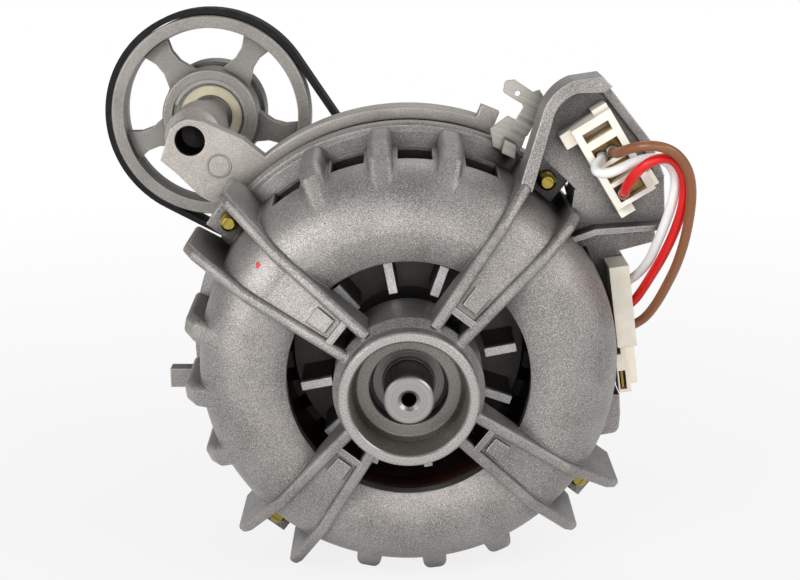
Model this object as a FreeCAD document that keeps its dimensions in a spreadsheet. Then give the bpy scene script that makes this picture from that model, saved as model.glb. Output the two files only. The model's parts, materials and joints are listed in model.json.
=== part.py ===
import FreeCAD, Part
import math
import os

import Sketcher

# Tumble dryer motor with its tension arm and intermediate belt pulley.
# The origin is the centre of the front bearing boss's face. The shaft lies along Y, with the
# front boss towards -Y, +X to the right seen from the front, and +Z up. Millimetres and degrees.

Vector = FreeCAD.Vector

# Driving dimensions: name, value, meaning
DIMENSIONS = [
    # shaft and its two bearings
    ("shaft_nose_r", 7.0, "front shaft end"),
    ("shaft_nose_y", -0.5, "front face of the shaft"),
    ("shaft_centre_hole_r", 2.1, "tapped hole in the shaft end"),
    ("shaft_centre_hole_depth", 12.0, "depth of that hole"),
    ("shaft_body_r", 9.0, "shaft between the bearings"),
    ("shaft_pulley_r", 6.0, "shaft seat of the motor pulley"),
    ("shaft_end_y", 131.0, "rear face of the shaft"),
    ("motor_bearing_bore_r", 7.5, "bore of the motor bearings"),
    ("motor_bearing_outer_r", 17.5, "outside of the motor bearings"),
    ("motor_bearing_width", 11.0, "width of the motor bearings"),
    ("motor_ball_r", 2.95, "balls of the motor bearings"),
    ("motor_ball_count", 8, "balls in each motor bearing"),
    ("ball_clearance", 0.1, "play between ball and groove"),
    ("ring_land", 0.75, "shoulder of a bearing ring from the pitch circle, in ball radii"),
    ("seal_thickness", 0.6, "bearing seal plate"),
    ("seal_inset", 0.3, "seal behind the ring face"),
    ("seal_gap", 0.15, "seal lip to inner ring"),
    ("cage_half_thickness", 0.7, "half the radial wall of a ball cage"),
    ("cage_gap", 0.2, "cage to seal"),
    ("cage_pocket_play", 0.12, "ball to cage pocket"),
    # front shield hub
    ("boss_outer_r", 19.6, "front boss ring, outside"),
    ("boss_bore_r", 16.6, "front boss ring, inside at the mouth"),
    ("boss_floor_r", 15.75, "front boss recess at its floor"),
    ("boss_floor_y", 9.0, "depth of the boss recess"),
    ("boss_chamfer", 0.5, "edge break of the boss ring"),
    ("ledge_y", 10.5, "front of the retaining ledge"),
    ("ledge_bore_r", 11.2, "hole in the retaining ledge"),
    ("ledge_back_y", 14.5, "back of the retaining ledge"),
    ("washer_thickness", 1.0, "spring washer in front of the bearing"),
    ("boss_seat_y", 5.0, "straight seat on the boss ring, from the front"),
    ("hub_r", 21.5, "hub behind the boss ring"),
    ("hub_flare_y", 8.0, "where the flare meets the hub"),
    ("hub_rear_y", 27.5, "rear end of the front hub"),
    # front shield dome
    ("web_y", 17.0, "front of the web between hub and dome"),
    ("web_thickness", 3.5, "that web"),
    ("window_outer_r", 35.2, "outer edge of the air windows"),
    ("window_sweep", 68.0, "sweep of an air window, degrees"),
    ("window_lip", 2.0, "slope behind the window's outer edge"),
    ("hub_pocket_r", 26.0, "small pocket in each arm beside the hub"),
    ("hub_pocket_sweep", 12.5, "that pocket, degrees"),
    ("hub_pocket_shift", 3.4, "middle of that pocket from the arm's middle, degrees"),
    ("crown_r", 44.0, "radius of the dome's crown circle"),
    ("crown_y", 15.0, "foremost point of the dome"),
    ("crown_sweep_r", 24.0, "curve from the windows up to the crown"),
    ("dome_round_r", 18.0, "round from crown to wall"),
    ("shield_wall", 4.0, "wall of both shields"),
    ("wall_draft", 0.6, "growth of the wall towards the rim"),
    ("rim_r", 66.3, "rim band"),
    ("rim_front_y", 50.0, "front of the rim band"),
    ("rim_slope", 3.0, "depth of the rim's front slope"),
    ("joint_y", 58.0, "plane where the shields meet"),
    ("top_rim_r", 68.8, "raised rim over the top"),
    ("top_rim_y", 53.0, "front of the raised rim"),
    ("top_rim_middle", 97.5, "middle of the raised rim, degrees"),
    ("top_rim_sweep", 88.0, "sweep of the raised rim, degrees"),
    # cooling slots and fingers
    ("slot_y", 31.0, "front end of the cooling slots"),
    ("slot_length", 18.0, "length of the cooling slots"),
    ("slot_sweep", 9.4, "width of a slot, degrees"),
    ("finger_step", 18.4, "spacing of the fingers, degrees"),
    ("finger_width", 7.0, "width of a cooling finger"),
    ("finger_r", 67.0, "outside of a finger"),
    ("finger_bow", 3.0, "bend of a finger at its shoulder"),
    ("finger_shoulder_y", 25.5, "shoulder of a finger"),
    ("finger_end_y", 54.0, "rear end of a finger"),
    ("finger_round", 2.2, "edge round of a finger"),
    # arms
    ("arm_angle", 52.5, "first arm from +X towards +Z, degrees"),
    ("rib_thickness", 3.4, "thickness of an arm's rib"),
    ("rib_round", 1.3, "edge round of a rib"),
    ("rib_foot_y", 5.5, "rib crest where it leaves the hub"),
    ("rib_end_y", 28.5, "rib crest at its outer corner"),
    ("rib_end_r", 71.5, "outer corner of a rib"),
    ("rib_stand", 2.4, "rib crest in front of the dome"),
    ("rib_shoulder", 9.0, "from the dome's crown out to the bend of a rib's crest"),
    ("ear_r", 74.5, "outermost point of a rib"),
    ("ear_drop", 4.0, "slope at the rib's outer corner"),
    ("ear_back_y", 54.0, "back of the ribs"),
    ("inner_rib_foot", 5.7, "offset of the rib near the bolt, at the hub"),
    ("inner_rib_end", 7.4, "offset of the rib near the bolt, at its end"),
    ("outer_rib_foot", 2.6, "offset of the other rib, at the hub"),
    ("outer_rib_end", 11.2, "offset of the other rib, at its end"),
    ("seat_y", 45.0, "front of the screw seat"),
    ("seat_outer_r", 72.0, "outer edge of the screw seat"),
    ("seat_reach", 5.5, "seat beyond the screw on its open side"),
    ("bolt_circle_r", 67.0, "through screws"),
    ("bolt_r", 2.5, "through screw shank"),
    ("bolt_tip_y", 39.5, "tip of the through screws"),
    ("bolt_head_r", 4.2, "flanged screw head"),
    ("bolt_hex_r", 3.6, "hexagon of the screw head, over corners"),
    ("bolt_flange", 1.0, "flange under the screw head"),
    ("bolt_head_height", 3.4, "height of the screw head"),
    ("bolt_play", 0.15, "screw to its hole"),
    ("gusset_drop", 27.2, "foot of the bracket's gusset below the first screw"),
    ("gusset_clearance", 1.2, "gusset to the laminations"),
    ("cut_margin", 1.0, "how far a drilling tool runs past a face"),
    # rear shield
    ("flange_thickness", 4.0, "rear shield flange"),
    ("neck_r", 63.4, "rear shield behind the flange"),
    ("collar_front_y", 64.4, "front of the guide collar"),
    ("collar_lip", 1.5, "front lip of the guide collar"),
    ("collar_r", 67.6, "guide collar of the arm"),
    ("collar_width", 12.0, "guide collar behind its lip"),
    ("rear_crown_r", 46.0, "radius of the rear dome's crown"),
    ("rear_crown_y", 105.0, "rear face of the rear dome"),
    ("rear_round_r", 16.5, "round from rear wall to crown"),
    ("rear_face_y", 111.0, "rear end of the rear hub"),
    ("rear_lip", 1.5, "lip behind the rear bearing"),
    ("rear_lip_bore_r", 12.5, "hole in that lip"),
    ("rear_window_inner_r", 24.5, "inner edge of the rear windows"),
    ("rear_window_outer_r", 41.0, "outer edge of the rear windows"),
    ("rear_window_sweep", 44.0, "sweep of a rear window, degrees"),
    ("rear_window_count", 6, "rear windows"),
    ("rear_slot_length", 12.0, "length of the rear cooling slots"),
    # stator and rotor
    ("core_r", 59.0, "stator laminations"),
    ("core_fit", 0.1, "core to shields"),
    ("core_length", 36.0, "stack of laminations"),
    ("core_bore_r", 36.0, "bore of the stator"),
    ("slot_count", 24, "slots of the stator"),
    ("core_slot_width", 4.4, "width of a stator slot"),
    ("core_slot_r", 51.0, "bottom of a stator slot"),
    ("slot_liner", 0.3, "space for slot insulation"),
    ("winding_inner_r", 38.2, "inside of the winding heads"),
    ("winding_outer_r", 55.0, "outside of the winding heads"),
    ("front_winding_length", 17.5, "front winding head"),
    ("rear_winding_length", 13.0, "rear winding head"),
    ("winding_round", 5.0, "round of the winding heads"),
    ("switch_width", 8.0, "thermal switch across the winding"),
    ("switch_length", 16.0, "thermal switch along the winding"),
    ("switch_thickness", 4.0, "thermal switch"),
    ("switch_angle", 187.0, "place of the thermal switch, degrees"),
    ("air_gap", 0.6, "rotor to stator"),
    ("end_ring_inner_r", 20.0, "inside of the rotor's end rings"),
    ("end_ring_thickness", 4.0, "end ring"),
    ("bar_count", 18, "bars of the rotor cage"),
    ("bar_inner_r", 27.0, "inner edge of a rotor bar"),
    ("bar_outer_r", 33.0, "outer edge of a rotor bar"),
    ("bar_thickness", 3.0, "thickness of a rotor bar"),
    ("blade_count", 12, "cooling blades on each end ring"),
    ("blade_first", 11.0, "angle of the first blade, degrees"),
    ("blade_inner_r", 23.0, "inner end of a blade"),
    ("blade_outer_r", 32.2, "outer end of a blade"),
    ("blade_thickness", 2.5, "thickness of a blade"),
    ("front_blade_length", 17.5, "front blades"),
    ("rear_blade_length", 8.0, "rear blades"),
    # motor pulley and belt
    ("belt_y", 122.5, "middle of the belt"),
    ("belt_width", 9.0, "belt width"),
    ("belt_thickness", 2.0, "belt thickness"),
    ("belt_clearance", 0.3, "belt to pulley"),
    ("motor_pulley_r", 12.0, "motor pulley over its ribs"),
    ("motor_pulley_width", 14.0, "width of the motor pulley"),
    ("pulley_groove_depth", 1.3, "grooves of the motor pulley"),
    ("pulley_groove_count", 4, "grooves of the motor pulley"),
    # tension arm
    ("strap_r", 71.6, "outside of the arm's strap"),
    ("strap_y", 66.5, "front of the strap and plate"),
    ("strap_width", 9.5, "width of the strap"),
    ("strap_start", 68.0, "free end of the strap, degrees"),
    ("strap_end", 146.0, "plate end of the strap, degrees"),
    ("guide_play", 0.3, "play in the arm's guide"),
    ("guide_neck_width", 3.0, "neck of the guide rail"),
    ("guide_foot_width", 6.0, "foot of the guide rail"),
    ("guide_foot_r", 64.0, "bottom of the guide rail"),
    ("guide_foot_height", 1.8, "height of the rail's foot"),
    ("guide_end", 3.0, "collar beyond the rail's travel, degrees"),
    ("guide_stop_play", 0.4, "rail to the end of its groove, degrees"),
    ("strap_peg", 3.6, "peg at the strap's free end"),
    ("strap_peg_width", 6.0, "width of that peg"),
    ("swing", 9.0, "travel of the arm, up to the first screw's ear, degrees"),
    ("plate_thickness", 6.0, "plate of the arm"),
    ("pulley_centre_r", 91.0, "motor axis to pulley axis"),
    ("pulley_centre_angle", 138.0, "pulley axis, degrees"),
    ("post_r", 9.0, "cast post of the arm"),
    ("post_face_r", 6.6, "boss round the open bore, in the plate"),
    ("post_face_step", 2.0, "slope from that boss to the post"),
    ("post_length", 20.0, "cast post behind the plate"),
    ("post_front_bore_r", 4.75, "open bore in front of the post"),
    ("post_front_bore_depth", 14.0, "depth of that bore"),
    ("axle_spigot_length", 9.0, "axle in the post"),
    ("axle_shoulder_r", 6.2, "axle before the bearings"),
    ("axle_end_y", 142.5, "rear end of the axle"),
    # intermediate pulley
    ("pulley_bearing_bore_r", 5.0, "bore of the pulley bearings"),
    ("pulley_bearing_outer_r", 13.0, "outside of the pulley bearings"),
    ("pulley_bearing_width", 8.0, "width of the pulley bearings"),
    ("pulley_ball_r", 2.35, "balls of the pulley bearings"),
    ("pulley_ball_count", 7, "balls in each pulley bearing"),
    ("pulley_front_y", 114.5, "front of the pulley hub"),
    ("pulley_bearing_inset", 1.9, "front bearing behind the hub face"),
    ("bearing_spacing", 7.0, "space between the pulley bearings"),
    ("pulley_hub_r", 16.4, "outside of the pulley hub"),
    ("pulley_hub_length", 26.0, "length of the pulley hub"),
    ("shoulder_r", 12.0, "shoulder between the pulley bearings"),
    ("rim_outer_r", 34.3, "belt surface of the large pulley"),
    ("rim_wall", 4.2, "wall of the large pulley's rim"),
    ("rim_width", 12.0, "width of the large pulley's rim"),
    ("spoke_count", 5, "spokes"),
    ("spoke_first", 57.0, "first spoke, degrees"),
    ("spoke_width", 7.0, "width of a spoke at its waist"),
    ("spoke_root", 12.0, "width of a spoke at hub and rim"),
    ("spoke_thickness", 5.0, "thickness of a spoke"),
    ("drum_pulley_r", 17.6, "drum belt pulley behind the spokes"),
    ("drum_pulley_crown", 0.6, "crown of the drum belt pulley"),
    ("drum_pulley_width", 11.0, "width of the drum belt pulley"),
    ("circlip_wire", 1.1, "thickness of the circlips"),
    ("circlip_depth", 0.7, "depth of the circlip grooves"),
    ("circlip_play", 0.05, "circlip in its groove"),
    ("circlip_sweep", 320.0, "sweep of a circlip, degrees"),
    # connector bracket
    ("bracket_y", 34.0, "front of the bracket plate"),
    ("bracket_thickness", 3.0, "bracket plate"),
    ("bracket_wall_y", 24.0, "crest of the bracket wall"),
    ("bracket_foot_y", 28.0, "crest of the bracket's bottom wall"),
    ("bracket_back_y", 50.0, "rear plate of the bracket"),
    ("bracket_lip", 1.0, "raised lip along the bracket's free edge"),
    ("bracket_rib_r", 64.0, "end of the two ribs that run into the bracket"),
    # upper connector with its contacts
    ("socket_length", 26.4, "upper connector"),
    ("socket_height", 12.4, "upper connector"),
    ("socket_depth", 10.0, "upper connector"),
    ("socket_right", 16.6, "first screw to the connector's middle, to the right"),
    ("socket_up", 9.45, "first screw to the connector's middle, upwards"),
    ("socket_turn", 58.3, "turn of the upper connector, degrees"),
    ("cavity_count", 4, "cavities of the upper connector"),
    ("cavity_pitch", 6.2, "spacing of the connector cavities"),
    ("cavity_width", 4.9, "cavity along the connector"),
    ("cavity_height", 8.2, "cavity across the connector"),
    ("cavity_depth", 8.0, "depth of a cavity"),
    ("closed_slot_width", 2.8, "slot in the cover of the unused cavity"),
    ("latch_length", 4.6, "latch tab of the connector"),
    ("latch_reach", 3.4, "latch tab beyond the connector's side"),
    ("crown_reach", 1.4, "small tab beyond the connector's top"),
    ("contact_height", 4.6, "contact above the cavity floor"),
    ("contact_gap", 0.2, "contact to the cavity's walls"),
    # motor plug, stator socket and wires
    ("wire_d", 2.8, "wires over their insulation"),
    ("plug_length", 25.2, "motor plug"),
    ("plug_width", 5.9, "motor plug"),
    ("plug_depth", 8.0, "motor plug"),
    ("plug_turn", 8.2, "lean of the motor plug, degrees"),
    ("plug_rise", 6.3, "middle of the motor plug along its own length"),
    ("plug_gap", 0.25, "motor plug to the shield wall"),
    ("base_thickness", 4.0, "base of the stator socket"),
    ("open_half_length", 14.6, "open half of the stator socket"),
    ("open_half_step", 1.0, "open half behind the plug's face"),
    ("open_half_shift", 0.8, "open half nearer to the motor than the plug"),
    ("open_half_lean", 0.4, "narrowing of the open half's right side"),
    ("open_half_waist", 9.7, "straight stretch of the open half's right side"),
    ("open_neck", 1.6, "step from the open half to its neck"),
    ("open_neck_length", 2.4, "neck between the open half and the plug"),
    ("open_cavity_length", 6.0, "cavity of the open half"),
    ("open_cavity_depth", 7.0, "depth of that cavity"),
    ("open_half_wall", 0.9, "wall of the open half"),
    ("socket_seat_length", 6.0, "cast seat behind the stator socket"),
    # lugs, earth blade and clip
    ("lug_y", 40.0, "front of the right lug"),
    ("left_lug_reach", 8.3, "left lug beyond the rim"),
    ("left_lug_height", 6.0, "left lug"),
    ("left_lug_z", -15.0, "underside of the left lug"),
    ("sheet_thickness", 0.8, "steel of the earth blade and its clip"),
    ("clip_foot_depth", 5.0, "foot of the clip in front of its plate"),
    ("blade_hole_r", 0.85, "hole in the earth blade"),
]


class Size(float):
    """A number that also remembers the sheet expression that gives it."""

    def __new__(cls, value, text):
        number = super().__new__(cls, value)
        number.text = text
        return number

    def __add__(self, other):
        return Size(float(self) + float(other), f"({self.text} + {text_of(other)})")

    def __radd__(self, other):
        return Size(float(other) + float(self), f"({text_of(other)} + {self.text})")

    def __sub__(self, other):
        return Size(float(self) - float(other), f"({self.text} - {text_of(other)})")

    def __rsub__(self, other):
        return Size(float(other) - float(self), f"({text_of(other)} - {self.text})")

    def __mul__(self, other):
        return Size(float(self) * float(other), f"({self.text} * {text_of(other)})")

    def __rmul__(self, other):
        return Size(float(other) * float(self), f"({text_of(other)} * {self.text})")

    def __truediv__(self, other):
        return Size(float(self) / float(other), f"({self.text} / {text_of(other)})")

    def __rtruediv__(self, other):
        return Size(float(other) / float(self), f"({text_of(other)} / {self.text})")

    def __neg__(self):
        return Size(-float(self), f"(0 - {self.text})")


def text_of(value):
    """The expression of a size, or a plain number in brackets."""
    if isinstance(value, Size):
        return value.text
    return f"({float(value)!r})"


def cos_of(angle):
    return Size(math.cos(math.radians(angle)), f"cos({text_of(angle)})")


def sin_of(angle):
    return Size(math.sin(math.radians(angle)), f"sin({text_of(angle)})")


def root_of(value):
    return Size(math.sqrt(value), f"sqrt({text_of(value)})")


doc = FreeCAD.newDocument("dryer_motor")
sheet = doc.addObject("Spreadsheet::Sheet", "Sizes")


class Dimensions:
    """The driving dimensions as attributes, each bound to its cell."""


dim = Dimensions()
for row, (alias, number, meaning) in enumerate(DIMENSIONS, start=1):
    sheet.set(f"A{row}", meaning)
    sheet.set(f"B{row}", str(number))
    sheet.setAlias(f"B{row}", alias)
    setattr(dim, alias, Size(number, f"Sizes.{alias}"))
doc.recompute()

nodes = []


# Helpers: each one makes ordinary document objects

def bind(item, path, value):
    """Set a property and, for a size, its expression."""
    if isinstance(value, Size):
        item.setExpression(path, value.text)


def new_body(label):
    body = doc.addObject("PartDesign::Body", label)
    body.Label = label
    return body


def as_node(item, name):
    """Name the finished object of a sub-part."""
    item.Label = name
    nodes.append((name, item))
    return item


def origin_feature(body, role):
    return [item for item in body.Origin.OriginFeatures if item.Role == role][0]


def add_outline(sketch, points):
    """Closed outline. A third number is the radius of the round stretch that ends at that
    point: positive turns left on the way, negative turns right."""
    first = sketch.GeometryCount
    count = len(points)
    shapes = []
    start_ends = []
    for index in range(count):
        here = points[index]
        there = points[(index + 1) % count]
        start = Vector(here[0], here[1], 0)
        end = Vector(there[0], there[1], 0)
        if len(there) == 2:
            shapes.append(Part.LineSegment(start, end))
            start_ends.append((1, 2))
            continue
        radius = abs(there[2])
        left = there[2] > 0
        chord = end - start
        side = Vector(-chord.y, chord.x, 0) if left else Vector(chord.y, -chord.x, 0)
        side.normalize()
        rise = math.sqrt(max(radius ** 2 - (chord.Length / 2) ** 2, 0))
        centre = (start + end) / 2 + side * rise
        angles = [math.atan2(point.y - centre.y, point.x - centre.x) for point in (start, end)]
        if not left:
            angles.reverse()
        if angles[1] < angles[0]:
            angles[1] += 2 * math.pi
        circle = Part.Circle(centre, Vector(0, 0, 1), radius)
        shapes.append(Part.ArcOfCircle(circle, angles[0], angles[1]))
        start_ends.append((1, 2) if left else (2, 1))
    sketch.addGeometry(shapes, False)
    rules = []
    bindings = []
    for index in range(count):
        geometry = first + index
        following = first + (index + 1) % count
        begin, end = start_ends[index]
        next_begin = start_ends[(index + 1) % count][0]
        rules.append(Sketcher.Constraint("Coincident", geometry, end, following, next_begin))
        for kind, value in (("DistanceX", points[index][0]), ("DistanceY", points[index][1])):
            bindings.append((len(rules), value))
            rules.append(Sketcher.Constraint(kind, -1, 1, geometry, begin, float(value)))
        there = points[(index + 1) % count]
        if len(there) == 3:
            value = there[2] if there[2] > 0 else -there[2]
            bindings.append((len(rules), value))
            rules.append(Sketcher.Constraint("Radius", geometry, float(value)))
    add_rules(sketch, rules, bindings)


def add_circle(sketch, x, y, radius):
    geometry = sketch.addGeometry(Part.Circle(Vector(x, y, 0), Vector(0, 0, 1), radius), False)
    rules = [
        Sketcher.Constraint("DistanceX", -1, 1, geometry, 3, float(x)),
        Sketcher.Constraint("DistanceY", -1, 1, geometry, 3, float(y)),
        Sketcher.Constraint("Radius", geometry, float(radius)),
    ]
    add_rules(sketch, rules, [(0, x), (1, y), (2, radius)])


def add_rules(sketch, rules, bindings):
    before = sketch.ConstraintCount
    sketch.addConstraint(rules)
    for index, value in bindings:
        bind(sketch, f"Constraints[{before + index}]", value)


def new_sketch(body, name, role, outlines, circles=(), shift=(0, 0, 0), turn=0):
    """Sketch on a plane of the body's own origin, shifted and turned about the motor axis."""
    sketch = body.newObject("Sketcher::SketchObject", name)
    sketch.AttachmentSupport = (origin_feature(body, role), "")
    sketch.MapMode = "FlatFace"
    axis_of_turn = Vector(0, -1, 0) if role == "XY_Plane" else Vector(0, 0, 1)
    spin = FreeCAD.Rotation(axis_of_turn, float(turn))
    sketch.AttachmentOffset = FreeCAD.Placement(Vector(*shift), spin)
    for axis, value in zip("xyz", shift):
        bind(sketch, f".AttachmentOffset.Base.{axis}", value)
    if isinstance(turn, Size):
        bind(sketch, ".AttachmentOffset.Rotation.Angle", turn)
    for points in outlines:
        add_outline(sketch, points)
    for x, y, radius in circles:
        add_circle(sketch, x, y, radius)
    return sketch


def revolve(body, name, points, cut=False, sweep=None, middle=0):
    """Turn an outline of (radius, Y) about the body's Y axis, fully or over a sector."""
    sketch = new_sketch(body, name + "_outline", "XY_Plane", [points], turn=middle)
    kind = "PartDesign::Groove" if cut else "PartDesign::Revolution"
    feature = body.newObject(kind, name)
    feature.Profile = sketch
    feature.ReferenceAxis = (sketch, ["V_Axis"])
    feature.Refine = False
    if sweep is not None:
        feature.Midplane = True
        feature.Angle = float(sweep)
        bind(feature, "Angle", sweep)
    return feature


def extrude(body, name, outlines, y_from, length, circles=(), cut=False, turn=0):
    """Pad or pocket an outline of (X, Z) from the plane Y = y_from towards +Y."""
    sketch = new_sketch(body, name + "_outline", "XZ_Plane", outlines, circles,
                        (0, 0, -y_from), turn)
    feature = body.newObject("PartDesign::Pocket" if cut else "PartDesign::Pad", name)
    feature.Profile = sketch
    feature.Length = float(length)
    bind(feature, "Length", length)
    feature.Reversed = not cut
    feature.Refine = False
    return feature


def upright_plate(body, name, points, thickness, turn, shift=(0, 0, 0), cut=False):
    """Pad or pocket an outline of (radius, Y) that stands on the axis, half to each side."""
    sketch = new_sketch(body, name + "_outline", "XY_Plane", [points], shift=shift, turn=turn)
    feature = body.newObject("PartDesign::Pocket" if cut else "PartDesign::Pad", name)
    feature.Profile = sketch
    feature.Length = float(thickness)
    bind(feature, "Length", thickness)
    feature.Midplane = True
    feature.Refine = False
    return feature


def repeat(body, name, feature, count):
    """Copies of a feature evenly round the body's Y axis."""
    pattern = body.newObject("PartDesign::PolarPattern", name)
    pattern.Originals = [feature]
    pattern.Axis = (origin_feature(body, "Y_Axis"), [""])
    pattern.Angle = 360
    pattern.Refine = False
    pattern.Occurrences = int(count)
    if isinstance(count, Size):
        bind(pattern, "Occurrences", count)
    body.Tip = pattern
    return pattern


def rounded_rib(name, points, crest_count, thickness, round_r, turn, shift=(0, 0, 0)):
    """Upright plate whose first edges, its crest, are rounded on both faces."""
    body = new_body(name)
    plate = upright_plate(body, name + "_plate", points, thickness, turn, shift)
    doc.recompute()
    to_sketch = plate.Profile[0].Placement.inverse()
    crest = [Vector(point[0], point[1], 0) for point in points[:crest_count + 1]]
    picked = []
    for index, edge in enumerate(plate.Shape.Edges, start=1):
        ends = [to_sketch.multVec(vertex.Point) for vertex in edge.Vertexes]
        flat_ends = [Vector(point.x, point.y, 0) for point in ends]
        for start, end in zip(crest, crest[1:]):
            forward = flat_ends[0].isEqual(start, 0.001) and flat_ends[-1].isEqual(end, 0.001)
            backward = flat_ends[0].isEqual(end, 0.001) and flat_ends[-1].isEqual(start, 0.001)
            if forward or backward:
                picked.append(f"Edge{index}")
    fillet = body.newObject("PartDesign::Fillet", name + "_round")
    fillet.Base = (plate, picked)
    fillet.Radius = float(round_r)
    bind(fillet, "Radius", round_r)
    return body


def fuse(name, items):
    joined = doc.addObject("Part::MultiFuse", name)
    joined.Shapes = items
    return joined


def group(name, items):
    """Separate solids of one kind under one name."""
    gathered = doc.addObject("Part::Compound", name)
    gathered.Links = items
    return gathered


def cut_from(name, base, tool):
    trimmed = doc.addObject("Part::Cut", name)
    trimmed.Base = base
    trimmed.Tool = tool
    return trimmed


def move_to(item, x, y, z, turn=0):
    """Place an item and turn it about its own Y axis, from +X towards -Z."""
    item.Placement = FreeCAD.Placement(Vector(x, y, z), FreeCAD.Rotation(Vector(0, 1, 0), float(turn)))
    for axis, value in (("x", x), ("y", y), ("z", z)):
        bind(item, f".Placement.Base.{axis}", value)
    if isinstance(turn, Size):
        bind(item, ".Placement.Rotation.Angle", turn)


def rectangle(x_from, y_from, x_to, y_to):
    return [(x_from, y_from), (x_to, y_from), (x_to, y_to), (x_from, y_to)]


# Places along Y that follow from the driving dimensions
front_bearing_y = dim.ledge_back_y + dim.washer_thickness
rear_bearing_y = dim.rear_face_y - dim.rear_lip - dim.motor_bearing_width
core_y = dim.rim_front_y
core_back_y = core_y + dim.core_length
pulley_x = dim.pulley_centre_r * cos_of(dim.pulley_centre_angle)
pulley_z = dim.pulley_centre_r * sin_of(dim.pulley_centre_angle)
first_pulley_bearing_y = dim.pulley_front_y + dim.pulley_bearing_inset
second_pulley_bearing_y = first_pulley_bearing_y + dim.pulley_bearing_width + dim.bearing_spacing
arm_angles = [dim.arm_angle + 90 * k for k in range(4)]
rotor_r = dim.core_bore_r - dim.air_gap
wall_r = dim.crown_r + dim.dome_round_r
wall_y = dim.crown_y + dim.dome_round_r
first_screw_x = dim.bolt_circle_r * cos_of(dim.arm_angle)
first_screw_z = dim.bolt_circle_r * sin_of(dim.arm_angle)
plug_middle_r = wall_r + dim.wall_draft + dim.plug_gap + dim.plug_width / 2
# Side of each arm that its rib near the screw stands on, from the first arm round by +Z
inner_rib_sides = (1, -1, -1, 1)


def make_bearing(prefix, bore_r, outer_r, width, ball_r, ball_count, front_y, centre):
    """Deep groove bearing: two grooved rings, balls, cage and two seal plates."""
    pitch_r = (bore_r + outer_r) / 2
    groove_r = ball_r + dim.ball_clearance
    land = ball_r * dim.ring_land
    half_groove = root_of(groove_r * groove_r - land * land)
    middle_y = front_y + width / 2
    back_y = front_y + width
    inner_land_r = pitch_r - land
    outer_land_r = pitch_r + land

    inner = new_body(prefix + "_inner_ring")
    revolve(inner, prefix + "_inner_turning", [
        (bore_r, front_y), (inner_land_r, front_y), (inner_land_r, middle_y - half_groove),
        (inner_land_r, middle_y + half_groove, -groove_r), (inner_land_r, back_y), (bore_r, back_y)])
    outer = new_body(prefix + "_outer_ring")
    revolve(outer, prefix + "_outer_turning", [
        (outer_r, back_y), (outer_land_r, back_y), (outer_land_r, middle_y + half_groove),
        (outer_land_r, middle_y - half_groove, -groove_r), (outer_land_r, front_y), (outer_r, front_y)])

    seals = []
    seal_fronts = (front_y + dim.seal_inset, back_y - dim.seal_inset - dim.seal_thickness)
    for side, seal_y in zip(("front", "back"), seal_fronts):
        seal = new_body(f"{prefix}_seal_{side}")
        revolve(seal, f"{prefix}_seal_{side}_turning", rectangle(
            inner_land_r + dim.seal_gap, seal_y,
            outer_land_r - dim.circlip_play, seal_y + dim.seal_thickness))
        seals.append(seal)

    balls = []
    pockets = []
    for k in range(int(ball_count)):
        angle = 360.0 * (k + 0.5) / ball_count
        place = (pitch_r * cos_of(angle), middle_y, pitch_r * sin_of(angle))
        for gathered, label, radius in ((balls, "ball", ball_r),
                                        (pockets, "pocket", ball_r + dim.cage_pocket_play)):
            sphere = doc.addObject("Part::Sphere", f"{prefix}_{label}_{k}")
            sphere.Radius = float(radius)
            bind(sphere, "Radius", radius)
            # The sphere's poles lie on the radius through its middle
            spin = FreeCAD.Rotation(Vector(0, 1, 0), 90.0 - float(angle))
            sphere.Placement = FreeCAD.Placement(Vector(*place), spin)
            for axis, value in zip("xyz", place):
                bind(sphere, f".Placement.Base.{axis}", value)
            gathered.append(sphere)
    cage_half = width / 2 - dim.seal_inset - dim.seal_thickness - dim.cage_gap
    band = new_body(prefix + "_cage_band")
    revolve(band, prefix + "_cage_turning", rectangle(
        pitch_r - dim.cage_half_thickness, middle_y - cage_half,
        pitch_r + dim.cage_half_thickness, middle_y + cage_half))
    cage = cut_from(prefix + "_cage", band, group(prefix + "_pockets", pockets))

    made = {
        "inner_ring": inner,
        "outer_ring": outer,
        "seals": group(prefix + "_seals", seals),
        "balls": group(prefix + "_balls", balls),
        "cage": cage,
    }
    for part, item in made.items():
        as_node(item, f"{prefix}_{part}")
        move_to(item, centre[0], 0, centre[1])


def make_motor_bearings():
    for prefix, front_y in (("front_bearing", front_bearing_y), ("rear_bearing", rear_bearing_y)):
        make_bearing(prefix, dim.motor_bearing_bore_r, dim.motor_bearing_outer_r,
                     dim.motor_bearing_width, dim.motor_ball_r, dim.motor_ball_count,
                     front_y, (0, 0))
    washer = new_body("bearing_spring_washer")
    revolve(washer, "spring_washer_turning", rectangle(
        dim.ledge_bore_r + dim.washer_thickness, dim.ledge_back_y,
        dim.motor_bearing_outer_r - dim.guide_play, front_bearing_y))
    as_node(washer, "bearing_spring_washer")


def make_pulley_bearings():
    places = (("pulley_front_bearing", first_pulley_bearing_y),
              ("pulley_rear_bearing", second_pulley_bearing_y))
    for prefix, front_y in places:
        make_bearing(prefix, dim.pulley_bearing_bore_r, dim.pulley_bearing_outer_r,
                     dim.pulley_bearing_width, dim.pulley_ball_r, dim.pulley_ball_count,
                     front_y, (pulley_x, pulley_z))


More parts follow.
